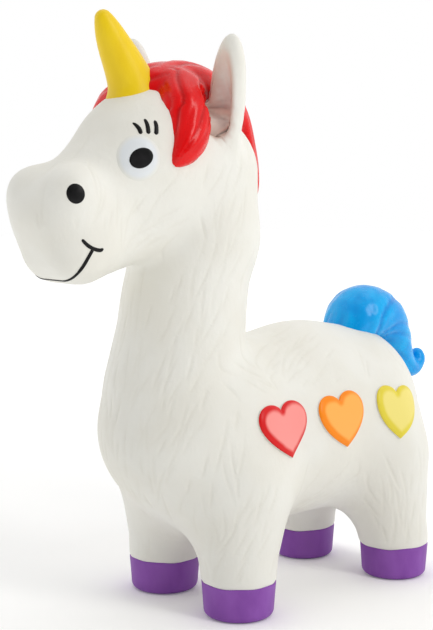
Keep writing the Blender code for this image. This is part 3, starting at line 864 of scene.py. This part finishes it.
def plastic():
    hard = Finish("squeaker plastic", Specular_IOR_Level=0.5)
    colour = hard.mix(hard.noise(300, 2.0), linear(226, 226, 222), linear(236, 236, 233))
    rough = hard.noise(900, 2.0) * 0.12 + 0.28
    return hard.use(Base_Color=colour, Roughness=rough)


def brass():
    metal = Finish("reed brass", Metallic=1.0)
    colour = metal.mix(metal.noise(500, 3.0, (1, 1, 0.1)), linear(190, 150, 80), linear(214, 178, 104))
    rough = metal.noise(900, 2.0, (1, 1, 0.1)) * 0.2 + 0.22
    return metal.use(Base_Color=colour, Roughness=rough)


latex_finish = latex()
horn_finish = brushed_paint("horn yellow paint", linear(238, 204, 22), linear(230, 193, 4),
                            linear(206, 164, 0), 0.58, (1, 1, 0.35))
mane_finish = brushed_paint("mane red paint", linear(228, 8, 12), linear(216, 0, 3),
                            linear(168, 0, 4), 0.74)
tail_finish = brushed_paint("tail blue paint", linear(0, 172, 240), linear(0, 152, 230),
                            linear(0, 120, 206), 0.74)
hoof_finish = brushed_paint("hoof purple paint", linear(142, 82, 174), linear(128, 68, 160),
                            linear(104, 50, 134), 0.5, (1, 1, 0.5))
red_finish = heart_paint("red heart paint", linear(214, 5, 10), linear(246, 148, 142))
orange_finish = heart_paint("orange heart paint", linear(250, 138, 0), linear(251, 176, 82))
yellow_finish = heart_paint("yellow heart paint", linear(226, 208, 62), linear(238, 222, 124))
eye_finish, black_finish = eye_paint(), black_paint()
print(len(bpy.data.materials), "finishes")

# %% [markdown]
# ## The skin, engraved
#
# The split clay becomes the skin, and the node tree cuts every stroke into it. The airbrushed blush needs a
# number on each vertex that says how deep it lies in an ear's cup.

# %% Engraving the skin
STROKE_DEPTH = 0.24 * MM
STROKE_WIDTH = 0.95 * MM


def blush_of(p):
    total = np.zeros(len(p))
    for side, (_, cup) in zip((1, -1), EARS):
        q = cup.local(p)
        inside = smooth(2.2, 0.2, cup.distance(p)) * smooth(19, 4, q[:, 2]) * smooth(-1.2, -3.0, q[:, 1])
        total = np.maximum(total, inside)
    return total


skin_mesh = mesh_from("skin", place(inside_hooves(skin_p)), skin_tris)
tag(skin_mesh, "blush", blush_of(skin_p))
skin = new_object("engraved_skin", skin_mesh)
guide = stroke_guide()
run_tree(skin, engrave, Strokes=guide, Depth=STROKE_DEPTH, Width=STROKE_WIDTH, Material=latex_finish)
bpy.data.objects.remove(guide)
skin.data.shade_smooth()
print("skin has", len(skin.data.polygons), "faces")

# %% [markdown]
# ## Hair on the mane and the tail
#
# The mane and tail are thick locks with a few broad strands, and the valleys between the strands run along
# each lock and close up at its tip. A strand is the same share of the way round its lock from root to tip.
# So the angle round the rod, plus a slow wander, tells where the valleys are. Combing them one by one as
# curves would also work, but they'd have to be spaced by hand.

# %% Combing strands into a lock
def round_rod(rod, p):
    """For each point the distance along the rod, 0 to 1, the angle round it and the rod's radius there."""
    q = rod.local(p)
    centres = np.array([centre for centre, _ in rod.balls])
    radii = np.array([radius for _, radius in rod.balls])
    lengths = np.linalg.norm(np.diff(centres, axis=0), axis=1)
    reached = np.concatenate([[0], np.cumsum(lengths)])
    tangents = np.gradient(centres, axis=0)
    tangents /= np.linalg.norm(tangents, axis=1, keepdims=True)
    best = np.full(len(p), 1e9)
    along, which = np.zeros(len(p)), np.zeros(len(p), int)
    for k, length in enumerate(lengths):
        axis = centres[k + 1] - centres[k]
        t = np.clip((q - centres[k]) @ axis / length ** 2, 0, 1)
        gap = np.linalg.norm(q - centres[k] - t[:, None] * axis, axis=1)
        nearer = gap < best
        best = np.where(nearer, gap, best)
        along = np.where(nearer, t, along)
        which = np.where(nearer, k, which)
    share = along[:, None]
    tangent = tangents[which] * (1 - share) + tangents[which + 1] * share
    centre = centres[which] * (1 - share) + centres[which + 1] * share
    radius = radii[which] * (1 - along) + radii[which + 1] * along
    out = q - centre
    return (reached[which] + along * lengths[which]) / reached[-1], out, tangent, radius


def angle_round(out, tangent, upwards):
    """The angle of out round the tangent, from the side that upwards points to."""
    up = upwards - tangent * (tangent @ upwards)[:, None]
    up /= np.linalg.norm(up, axis=1, keepdims=True)
    across = np.cross(tangent, up)
    return np.arctan2((out * across).sum(1), (out * up).sum(1))


def valleys(phase, seed, width=0.2):
    """The depth of the line between two strands, 0 on their backs. Every line has a depth of its own."""
    number = np.floor(phase)
    own = 0.62 + 0.38 * np.sin(number * 2.4 + seed)
    return own * np.exp(-((phase - number - 0.5) / width) ** 2)


def comb(name, p, tris, cut_, depth, finish, cad_node):
    """Presses the valleys in, keeps them as an attribute and finishes the piece."""
    normal = normals_of(p, tris)
    mesh = mesh_from(name, place(p - normal * (cut_ * depth)[:, None]), tris)
    tag(mesh, "valley", np.clip(cut_, 0, 1))
    return dress(new_object(name, mesh), finish, cad_node)


def dress(made, finish, cad_node, body="root"):
    """Gives a piece its finish, smooth shading and its body, and hides the CAD node that it stands for."""
    made.data.materials.clear()
    made.data.materials.append(finish)
    made.data.shade_smooth()
    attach(made, body)
    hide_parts(*([cad_node] if isinstance(cad_node, str) else cad_node))
    print(made.name, len(made.data.polygons), "faces")
    return made


dress(skin, latex_finish, "latex_skin")

# %% The mane
CROWN = Rod(*smoothed(((0, -62, 183.4), 10.2), ((0, -50, 184.3), 10.9), ((0, -41, 182), 10.7),
                      ((0, -35, 176), 10.2)), squash=(0.82, 1, 1), join=0.4)
LOCKS = (Rod(*smoothed(((2.5, -63, 182.5), 7.5), ((8, -57.5, 182.5), 9.4), ((14, -59.3, 178.5), 9.0),
                       ((16.8, -59.8, 173.5), 8.6), ((20.2, -62.4, 167.3), 6.9), ((21.9, -65.1, 163.3), 4.8),
                       ((22.4, -68.3, 160.2), 2.4)), join=0.4),
         Rod(*smoothed(((-2.5, -65, 182.5), 7.5), ((-8, -62.5, 181.5), 9.0), ((-14, -64.4, 178.5), 9.0),
                       ((-18.6, -64.1, 173.5), 8.8), ((-21.0, -64.1, 168.3), 7.8), ((-22.2, -65.7, 163.6), 5.5),
                       ((-22.8, -67.4, 159.6), 3.2)), join=0.4))
CREST = [Rod(*smoothed(((side * 2, -32, 181), 7.5), ((side * 2, -26.5, 174), 6.3),
                       ((side * 2, -24.5, 165), 6.7), ((side * 1.5, -22.5, 156), 6.8),
                       ((side, -21, 149), 5.4), ((side * 0.7, -21, 142), 3.0)), join=0.4)
         for side in (1, -1)]
MANE = Form((CROWN, 0), *[(lock, 2) for lock in (*LOCKS, *CREST)],
            carved=[(Rod(((0, -5.2, -13), 6.6), ((0, -5.2, 7), 5.5), origin=cup.origin,
                         axes=cup.axes), 1.5) for _, cup in EARS])


def mane_valleys(p):
    rods = [CROWN, *LOCKS, *CREST]
    gaps = np.array([rod.distance(p) for rod in rods])
    order = np.sort(gaps, axis=0)
    edge = smooth(0.0, 2.2, order[1] - order[0])
    owner = gaps.argmin(0)
    total = np.zeros(len(p))
    for k, (rod, strands) in enumerate(zip(rods, (11, 12, 12, 10, 10))):
        along, out, tangent, radius = round_rod(rod, p)
        angle = angle_round(out, tangent, vec(0.1, -0.4, 1) if k < 3 else vec(0, 1, 0.3))
        phase = angle / (2 * math.pi) * strands + 0.5 * np.sin(along * 4 + k) + 0.8 * along
        total = np.where(owner == k, valleys(phase, k) * np.clip(radius / 8, 0.15, 1.0), total)
    # Where two locks meet, the valley is deep: it is pressed in and, through the paint, darkened as painted
    # shade.
    return total * (0.35 + 0.65 * edge) + 0.45 * (1 - edge)


mane_p, mane_tris = sculpt("mane_clay", MANE, 0.7)
comb("combed_mane", mane_p, mane_tris, mane_valleys(mane_p), 0.6, mane_finish, "mane")

# %% The tail
TAIL = Rod(*smoothed(((0, 34, 93), 9.0), ((0, 42, 100.4), 11.3), ((0, 52, 98.7), 10.4),
                     ((0, 59.6, 90.6), 8.1), ((0, 65.3, 82.3), 5.6), ((0, 70.6, 77.2), 4.2),
                     ((0, 74.3, 76.6), 3.4), ((0, 76.9, 79.4), 3.0), ((0, 76.9, 81.8), 2.4)),
           squash=(0.85, 1, 1), join=0.4)


def tail_valleys(p):
    """The strands rise from the rump on both sides, fan over the bend and run down to the tip."""
    along, out, tangent, radius = round_rod(TAIL, p)
    angle = np.abs(angle_round(out, tangent, vec(0, 0.3, 1)))
    phase = angle / math.pi * 5 + 5.5 * smooth(0.0, 0.75, along) + 0.25 * np.sin(along * 8)
    return valleys(phase, 1.0, 0.26) * np.clip(radius / 9, 0.15, 1.0) * smooth(0.0, 0.5, angle)


tail_p, tail_tris = sculpt("tail_clay", Form((TAIL, 0)), 0.6)
comb("combed_tail", tail_p, tail_tris, tail_valleys(tail_p), 0.5, tail_finish, "tail")

# %% The horn
HORN = Form((Rod(*smoothed(((0, -69.8, 177), 9.7), ((0, -69.5, 184), 8.5), ((0, -73.5, 192.3), 6.8),
                           ((0, -78.6, 201.2), 5.0), ((0, -81.7, HORN_TOP - 2.9), 2.9)), join=0.4), 0))
horn_p, horn_tris = sculpt("horn_clay", HORN, 0.7)
hand = 0.1 * np.sin(horn_p[:, 2] * 0.35 + horn_p[:, 0] * 0.3) * np.sin(horn_p[:, 1] * 0.3)
comb("horn_cone", horn_p, horn_tris, hand, 1.0, horn_finish, "horn")

# %% [markdown]
# ## Hooves
#
# On the casting a hoof is the closed end of the leg with purple paint over it. It is turned here as a cup of
# its own with a flat sole and a rounded lower edge. Its top edge wavers a little, as a hand-held brush does.

# %% Turning the hooves
def hoof_profile(radius):
    """(radius, height) from the middle of the sole, up the outside and down the inside."""
    foot = radius - HOOF_FLARE
    corner = [(foot - 2.6 + 2.6 * math.sin(t), 2.6 - 2.6 * math.cos(t))
              for t in np.linspace(0.0, math.pi / 2, 9)]
    side = [(foot + HOOF_FLARE * t, 2.6 + (hoof_top - 2.6) * t) for t in np.linspace(0.1, 1.0, 10)]
    lip = [(radius - 0.12, hoof_top + 0.16), (radius - 0.5, hoof_top + 0.2)]
    inside = [(radius - 2.0, hoof_top - 0.6), (foot - 2.0, 4.0), (foot - 3.5, 2.4)]
    sole = [(0.0, 0.0), (foot * 0.3, 0.0), (foot * 0.6, 0.0)]
    return sole + corner + side + lip + inside + [(0.0, 2.4)]


def turned_hoof(name, seed):
    x, y, radius = HOOVES[name]
    profile = np.array(hoof_profile(radius))
    count, last = 96, len(profile) - 1
    points, faces = [(x, y, profile[0][1])], []
    waver = np.random.default_rng(seed).uniform(0, 2 * math.pi, 3)
    for r, z in profile[1:-1]:
        for k in range(count):
            t = 2 * math.pi * k / count
            lift = smooth(6.0, 12.0, z) * 0.17 * sum(math.sin(n * t + w) for n, w in zip((2, 3, 7), waver))
            points.append((x + r * math.cos(t), y + r * math.sin(t), z + lift))
    points.append((x, y, profile[-1][1]))
    rings = [[1 + ring * count + k for k in range(count)] for ring in range(last - 1)]
    for k in range(count):
        faces.append((0, rings[0][k], rings[0][k - 1]))
        faces.append((len(points) - 1, rings[-1][k - 1], rings[-1][k]))
        for lower, upper in zip(rings[:-1], rings[1:]):
            faces.append((lower[k - 1], lower[k], upper[k], upper[k - 1]))
    points = np.array(points, float)
    mesh = mesh_from(name, place(points), faces)
    # Painted shade: the lowest 1.2 mm of the hoof, next to the table, get the deep colour.
    tag(mesh, "valley", smooth(1.2, 0.0, points[:, 2]) * 0.8)
    return dress(new_object("painted_hoof_" + name, mesh), hoof_finish, "hoof_" + name)


for seed, name in enumerate(HOOF_NAMES):
    turned_hoof(name, seed)

# %% [markdown]
# ## Hearts, eyes and nostrils
#
# These are low shapes that stand out of the skin: flat-topped hearts with a round edge, and soft discs for
# the eyes. Each is an outline, filled with smaller copies of itself, whose points are pressed on the skin
# along one direction. How far a point lies inside the outline gives its height and its paint, and on the
# hearts also the painted highlight in their pale middle.

# %% Pressing raised shapes on the skin
def pressed(points, facing, level):
    """Moves points against facing until they lie at this distance from the skin."""
    p = np.array(points, float)
    for _ in range(60):
        p = p - facing * ((SKIN.distance(p) - level) * 0.8)[:, None]
    return p


def finer(outline, step=0.3):
    """The same closed outline with a point about every step, in millimetres."""
    ring = np.array(outline + outline[:1], float)
    lengths = np.concatenate([[0], np.cumsum(np.linalg.norm(np.diff(ring, axis=0), axis=1))])
    spots = np.linspace(0, lengths[-1], int(lengths[-1] / step), endpoint=False)
    return np.stack([np.interp(spots, lengths, ring[:, k]) for k in (0, 1)], 1)


def inside_by(flat, rim):
    """How far each flat point lies from the rim."""
    ends = np.roll(rim, -1, 0)
    axis = ends - rim
    gap = flat[:, None] - rim[None]
    t = np.clip((gap * axis).sum(-1) / (axis ** 2).sum(-1), 0, 1)
    return np.linalg.norm(gap - t[..., None] * axis, axis=-1).min(1)


FILL = (1.0, 0.99, 0.97, 0.945, 0.915, 0.88, 0.84, 0.79, 0.73, 0.66, 0.58, 0.49, 0.39, 0.28, 0.15)


def raised(name, outline, centre, facing, level, wall=0.0, highlight_shift=0.0):
    """A raised shape. level takes how far in a point lies and says how high it stands; wall is the height
    of a straight side below the round edge. highlight_shift moves the painted highlight, so the rim is wider on
    one side."""
    facing = vec(*facing) / np.linalg.norm(facing)
    up = vec(0, 0, 1) - facing * facing[2]
    up /= np.linalg.norm(up)
    across = np.cross(up, facing)
    rim = finer(outline)
    count = len(rim)
    flats = [rim * scale for scale in FILL] + [np.zeros((1, 2))]
    flat = np.concatenate(flats)
    inwards = inside_by(flat, rim)
    heights = wall + level(inwards)
    below = [rim, rim]
    flat = np.concatenate([flat, *below, np.zeros((1, 2))])
    heights = np.concatenate([heights, np.full(count, max(wall - 0.15, -0.1)), np.full(count + 1, -0.5)])
    points = vec(*centre) + facing * 12 + flat[:, :1] * across + flat[:, 1:] * up
    points = pressed(points, facing, 0.0) + facing * heights[:, None]
    rings = [np.arange(count) + ring * count for ring in range(len(FILL))]
    hub = len(FILL) * count
    sides = [hub + 1 + np.arange(count), hub + 1 + count + np.arange(count)]
    order = [sides[1], sides[0], *rings]
    faces = []
    for outer, inner in zip(order[:-1], order[1:]):
        for k in range(count):
            faces.append((outer[k - 1], outer[k], inner[k], inner[k - 1]))
    faces += [(rings[-1][k - 1], rings[-1][k], hub) for k in range(count)]
    faces += [(sides[1][k], sides[1][k - 1], len(points) - 1) for k in range(count)]
    mesh = mesh_from(name, place(points), [tuple(int(i) for i in face) for face in faces])
    # highlight_shift moves the painted highlight off the middle, so the rim is wider on one side.
    reach = np.concatenate([inwards, np.zeros(2 * count + 1)]) + highlight_shift * (flat[:, 0] + 0.5 * flat[:, 1])
    tag(mesh, "inwards", reach)
    on_wall = np.zeros(len(points))
    on_wall[hub + 1:] = 1.0
    tag(mesh, "wall", on_wall)
    face_out(mesh)
    return new_object(name, mesh)


def face_out(mesh):
    bm = bmesh.new()
    bm.from_mesh(mesh)
    bmesh.ops.recalc_face_normals(bm, faces=bm.faces)
    bm.to_mesh(mesh)
    bm.free()


def round_edge(height, radius):
    return lambda inwards: height * np.sqrt(1 - (1 - np.clip(inwards / radius, 0, 1)) ** 2)


def oval(across, tall, lean=0.0, count=48):
    turn = [2 * math.pi * k / count for k in range(count)]
    cosine, sine = math.cos(math.radians(lean)), math.sin(math.radians(lean))
    points = [(across * math.cos(t), tall * math.sin(t)) for t in turn]
    return [(a * cosine - b * sine, a * sine + b * cosine) for a, b in points]


def heart_outline(wide, tall, lean, swing, count=72):
    """A plump heart whose tip swings sideways, leaning by so many degrees."""
    turn = np.linspace(0, 2 * math.pi, count, endpoint=False)
    rise = tall * (13 * np.cos(turn) - 3.5 * np.cos(2 * turn) - 2 * np.cos(3 * turn)) / 25.2
    across = wide / 2 * (0.95 * np.sin(turn) ** 3 + 0.05 * np.sin(turn))
    across = across + swing * (0.42 - rise / tall) ** 2
    cosine, sine = math.cos(math.radians(lean)), math.sin(math.radians(lean))
    return list(zip(across * cosine - rise * sine, across * sine + rise * cosine))


# The middle of each heart on the left side (y, z), its width and height, lean, swing and paint.
HEARTS = {"front": (-29.2, 68.0, 24.2, 19.6, 2.3, 2.3, red_finish, "red_heart_paint"),
          "middle": (0.8, 68.0, 22.8, 20.3, 4.7, 1.7, orange_finish, "orange_heart_paint"),
          "rear": (30.5, 68.1, 21.7, 19.8, -5.3, -1.5, yellow_finish, "yellow_heart_paint")}
for side, word in ((1, "left"), (-1, "right")):
    for name, (y, z, wide, tall, lean, swing, finish, slot) in HEARTS.items():
        heart = raised(f"raised_heart_{name}_{word}", heart_outline(wide, tall, lean * side, swing * side),
                       (34 * side, y, z), (side, 0, 0.05), round_edge(0.95, 2.8), wall=0.6,
                       highlight_shift=0.07 * side)
        dress(heart, finish, f"heart_{name}_{word}")

# %% The eyes, pupils and nostrils
EYE_HEIGHT = 1.3


def eye_dome(inwards):
    t = np.clip(inwards / 5.2, 0, 1)
    return EYE_HEIGHT * (1 - (1 - t) ** 2.4) - 0.05


for side, word in ((1, "left"), (-1, "right")):
    outwards = (0.88 * side, -0.47, 0.05)
    eye = raised("eye_disc_" + word, oval(7.3, 7.6), (19.2 * side, -81.5, 160.9), outwards, eye_dome)
    dress(eye, eye_finish, "eye_white_" + word)
    pupil = raised("painted_pupil_" + word, oval(4.1, 3.2, 26 * side), (19.5 * side, -80.9, 160.7),
                   outwards, round_edge(0.22, 0.6), wall=EYE_HEIGHT - 0.06)
    dress(pupil, black_finish, "pupil_" + word)
    nostril = raised("painted_nostril_" + word, oval(2.9, 3.2, 14 * side), (18.7 * side, -105.9, 149.3),
                     (0.87 * side, -0.5, 0.1), round_edge(0.22, 0.7))
    dress(nostril, black_finish, "nostril_" + word)

# %% [markdown]
# ## Lashes and mouth
#
# These are single strokes of a loaded brush: thick where it was pressed, round at the ends and a little
# proud of the skin. A node tree turns a guide line into such a stroke, with a flattened profile that lies
# along the skin's normal and a size that the guide's points carry. The same tree makes all of them.

# %% The brush stroke tree
def stroke_tree_nodes():
    tree, given = new_tree("Brush stroke", Radius="Float", Flatness="Float", Material="Material")
    line = add_node(tree, "GeometryNodeMeshToCurve", _0=given["Geometry"])
    normal = add_node(tree, "GeometryNodeInputNamedAttribute", {"data_type": "FLOAT_VECTOR"},
                      Name="upwards")
    turned = add_node(tree, "GeometryNodeSetCurveNormal", {"mode": "FREE"}, Curve=line.outputs[0],
                      Normal=normal.outputs[0])
    ring = add_node(tree, "GeometryNodeCurvePrimitiveCircle", Resolution=14, Radius=given["Radius"])
    flat = add_node(tree, "ShaderNodeCombineXYZ", X=given["Flatness"], Y=1.0, Z=1.0)
    profile = add_node(tree, "GeometryNodeTransform", Geometry=ring.outputs[0], Scale=flat.outputs[0])
    width = add_node(tree, "GeometryNodeInputNamedAttribute", {"data_type": "FLOAT"}, Name="width")
    body = add_node(tree, "GeometryNodeCurveToMesh", Curve=turned.outputs[0],
                    _1=profile.outputs[0], Scale=width.outputs[0], Fill_Caps=True)
    close_tree(tree, body.outputs[0], given["Material"])
    return tree


brush = stroke_tree_nodes()


def on_skin(points, level):
    """The nearest places at this distance from the skin."""
    return settle(np.array(points, float), SKIN, level, rounds=12)


def bent_line(points, step=0.25):
    """A smooth line through a few points, with one about every step."""
    p = np.array(points, float)
    p = np.concatenate([[2 * p[0] - p[1]], p, [2 * p[-1] - p[-2]]])
    out = []
    for a, b, c, d in zip(p[:-3], p[1:-2], p[2:-1], p[3:]):
        for t in np.linspace(0, 1, max(2, int(np.linalg.norm((c - b)[:3]) / step)), endpoint=False):
            out.append(0.5 * (2 * b + (c - a) * t + (2 * a - 5 * b + 4 * c - d) * t * t
                              + (3 * b - a - 3 * c + d) * t ** 3))
    return np.array(out + [p[-2]])


def brush_lines(name, lines, radius, cad_node):
    """Strokes of (x, y, z, width) as one painted piece."""
    points, edges, up, width = [], [], [], []
    for line in lines:
        line = bent_line(line)
        at = on_skin(line[:, :3], 0.04)
        normal = SKIN.slope(at)[1]
        base, count = sum(len(p) for p in points), len(at)
        edges += [(base + k, base + k + 1) for k in range(count - 1)]
        ends = np.minimum(np.arange(count), np.arange(count)[::-1]) * 0.25 / radius
        points.append(at)
        up.append(normal / np.linalg.norm(normal, axis=1, keepdims=True))
        width.append(line[:, 3] * np.sqrt(1 - (1 - np.clip(ends, 0.04, 1)) ** 2))
    mesh = bpy.data.meshes.new(name)
    mesh.from_pydata(place(np.concatenate(points)).tolist(), edges, [])
    tag(mesh, "width", np.concatenate(width))
    layer = mesh.attributes.new("upwards", "FLOAT_VECTOR", "POINT")
    layer.data.foreach_set("vector", np.concatenate(up).astype(np.float32).ravel())
    made = run_tree(new_object(name, mesh), brush, Radius=radius * MM, Flatness=0.35,
                    Material=black_finish)
    face_out(made.data)
    return dress(made, black_finish, cad_node)


LASHES = [
    [(15.0, -80.9, 172.6, 0.5), (16.2, -80.2, 171.6, 0.85), (17.3, -79.8, 170.4, 1.0),
     (18.1, -79.7, 168.8, 1.0)],
    [(16.6, -77.2, 173.9, 0.6), (17.8, -77.1, 172.5, 0.9), (18.6, -77.2, 170.8, 1.0),
     (19.3, -77.5, 168.8, 1.0)],
    [(18.4, -74.3, 173.4, 0.7), (19.4, -74.4, 172.0, 0.95), (20.0, -74.7, 170.4, 1.0),
     (20.4, -75.2, 168.6, 1.1)],
]
SMILE = [(18.3, -99.2, 131.6), (17.4, -100.6, 128.6), (15.6, -101.6, 125.6), (13.0, -102.4, 122.8),
         (9.6, -103.0, 120.7), (5.2, -103.4, 119.4), (0.0, -103.6, 119.0)]
TICK = [(17.8, -103.0, 134.8, 0.8), (18.2, -101.2, 133.0, 1.0), (18.4, -99.0, 131.8, 1.0),
        (18.7, -96.6, 131.2, 1.0), (18.9, -95.2, 131.6, 0.8)]


def mirrored(line):
    return [(-x, *rest) for x, *rest in line]


for word in ("left", "right"):
    for number, lash in enumerate(LASHES, 1):
        brush_lines(f"painted_lash_{word}_{number}", [lash if word == "left" else mirrored(lash)], 0.72,
                    f"lash_{word}_{number}")
half = [(x, y, z, 0.75 if k > 2 else 0.95) for k, (x, y, z) in enumerate(SMILE)]
brush_lines("painted_mouth", [half + mirrored(half[:-1][::-1]), TICK, mirrored(TICK)], 0.62, "mouth_line")

# %% [markdown]
# ## The squeaker
#
# The plastic squeaker and its brass reed sit inside the belly, and only the rim of the barrel shows from
# below. The CAD parts are close to the real ones, so they are kept and get better finishes.

# %% Finishing the squeaker
plastic_finish, brass_finish = plastic(), brass()
for node, finish in (("squeaker_barrel", plastic_finish), ("reed_shallot", plastic_finish),
                     ("reed_ring", plastic_finish), ("squeaker_reed", brass_finish)):
    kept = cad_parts[node]
    kept.data.materials.clear()
    kept.data.materials.append(finish)
    print(node, "keeps its CAD shape")

# %% [markdown]
# ## Light and camera
#
# The toy stands on a pale table in an even studio light. A broad lamp above the right of the camera makes the
# legs' right sides bright and leaves the chest in soft shade; a weak one fills from the left. The table glows
# as painted light, more so away from the toy, so it shows white without a line where it ends and brightens
# the toy's underside a little.

# %% Floor, lamps and camera
def glowing_table_finish():
    # The table's emission is painted light: it glows, weakly near the toy and fully further out, though it is
    # no lamp.
    floor = Finish("pale table", Specular_IOR_Level=0.1, Emission_Strength=0.3)
    colour = floor.mix(floor.noise(3, 2.0), linear(246, 246, 245), linear(249, 249, 248))
    away = floor.node("ShaderNodeVectorMath", "Value", {"operation": "LENGTH"}, _0=floor.place())
    glow = floor.mix(away.clipped(0.15, 0.7), (0.25, 0.25, 0.25, 1), (1, 1, 1, 1))
    return floor.use(Base_Color=colour, Roughness=floor.noise(40) * 0.1 + 0.7, Emission_Color=glow)


table = new_object("table", mesh_from("table", vec((-3, -3, 0), (3, -3, 0), (3, 3, 0), (-3, 3, 0)),
                                      [(0, 1, 2, 3)]))
table.data.materials.append(glowing_table_finish())


def lamp(name, place_, aim, size, watts, colour=(1, 1, 1)):
    data = bpy.data.lights.new(name, "AREA")
    data.shape = "RECTANGLE"
    data.size, data.size_y, data.energy, data.color = *size, watts, colour
    made = bpy.data.objects.new(name, data)
    bpy.context.scene.collection.objects.link(made)
    made.location = place_
    made.rotation_euler = (Vector(aim) - Vector(place_)).to_track_quat("-Z", "Y").to_euler()
    return made


AIM = (0, 0, 0.11)
lamp("key", (1.2, 0.2, 0.9), AIM, (0.3, 0.9), 7, (1.0, 0.99, 0.97))
lamp("top", (0.1, 0.3, 1.4), AIM, (0.8, 0.8), 1.5)
lamp("fill", (-1.0, -1.0, 0.6), AIM, (0.5, 0.9), 1.2)


def studio_world(towards_camera):
    """A white tent: bright behind and beside the toy, dimmer round the opening for the camera."""
    world = bpy.data.worlds.new("studio")
    world.use_nodes = True
    tree = world.node_tree
    way = add_node(tree, "ShaderNodeTexCoord").outputs["Generated"]
    facing = Wire(tree, add_node(tree, "ShaderNodeVectorMath", {"operation": "DOT_PRODUCT"}, _0=way,
                                 _1=towards_camera).outputs["Value"])
    dimmed = 1.0 - facing.clipped(-0.1, 0.8) * 0.62 - facing.clipped(0.8, 1.0) * 0.25
    tree.links.new(dimmed.socket, tree.nodes["Background"].inputs["Strength"])
    tree.nodes["Background"].inputs["Color"].default_value = (1.0, 1.0, 1.0, 1.0)
    return world


scene = bpy.context.scene
scene.view_settings.view_transform = "Standard"

CAMERA_AT = Vector((361.6, -318.0, 152.0)) * MM
CAMERA_AIM = Vector((1.57, -17.14, 105.14)) * MM
scene.world = studio_world((CAMERA_AT - CAMERA_AIM).normalized())
lens = bpy.data.cameras.new("camera")
lens.lens = 74.3
lens.clip_start = 0.01
camera = bpy.data.objects.new("camera", lens)
scene.collection.objects.link(camera)
camera.location = CAMERA_AT
camera.rotation_euler = (CAMERA_AIM - CAMERA_AT).to_track_quat("-Z", "Y").to_euler()
scene.camera = camera

# %% [markdown]
# ## Last step
#
# The finished toy should be as big as the frame. The last step only brings the view layer up to date.

# %% Bringing the scene up to date
bpy.context.view_layer.update()
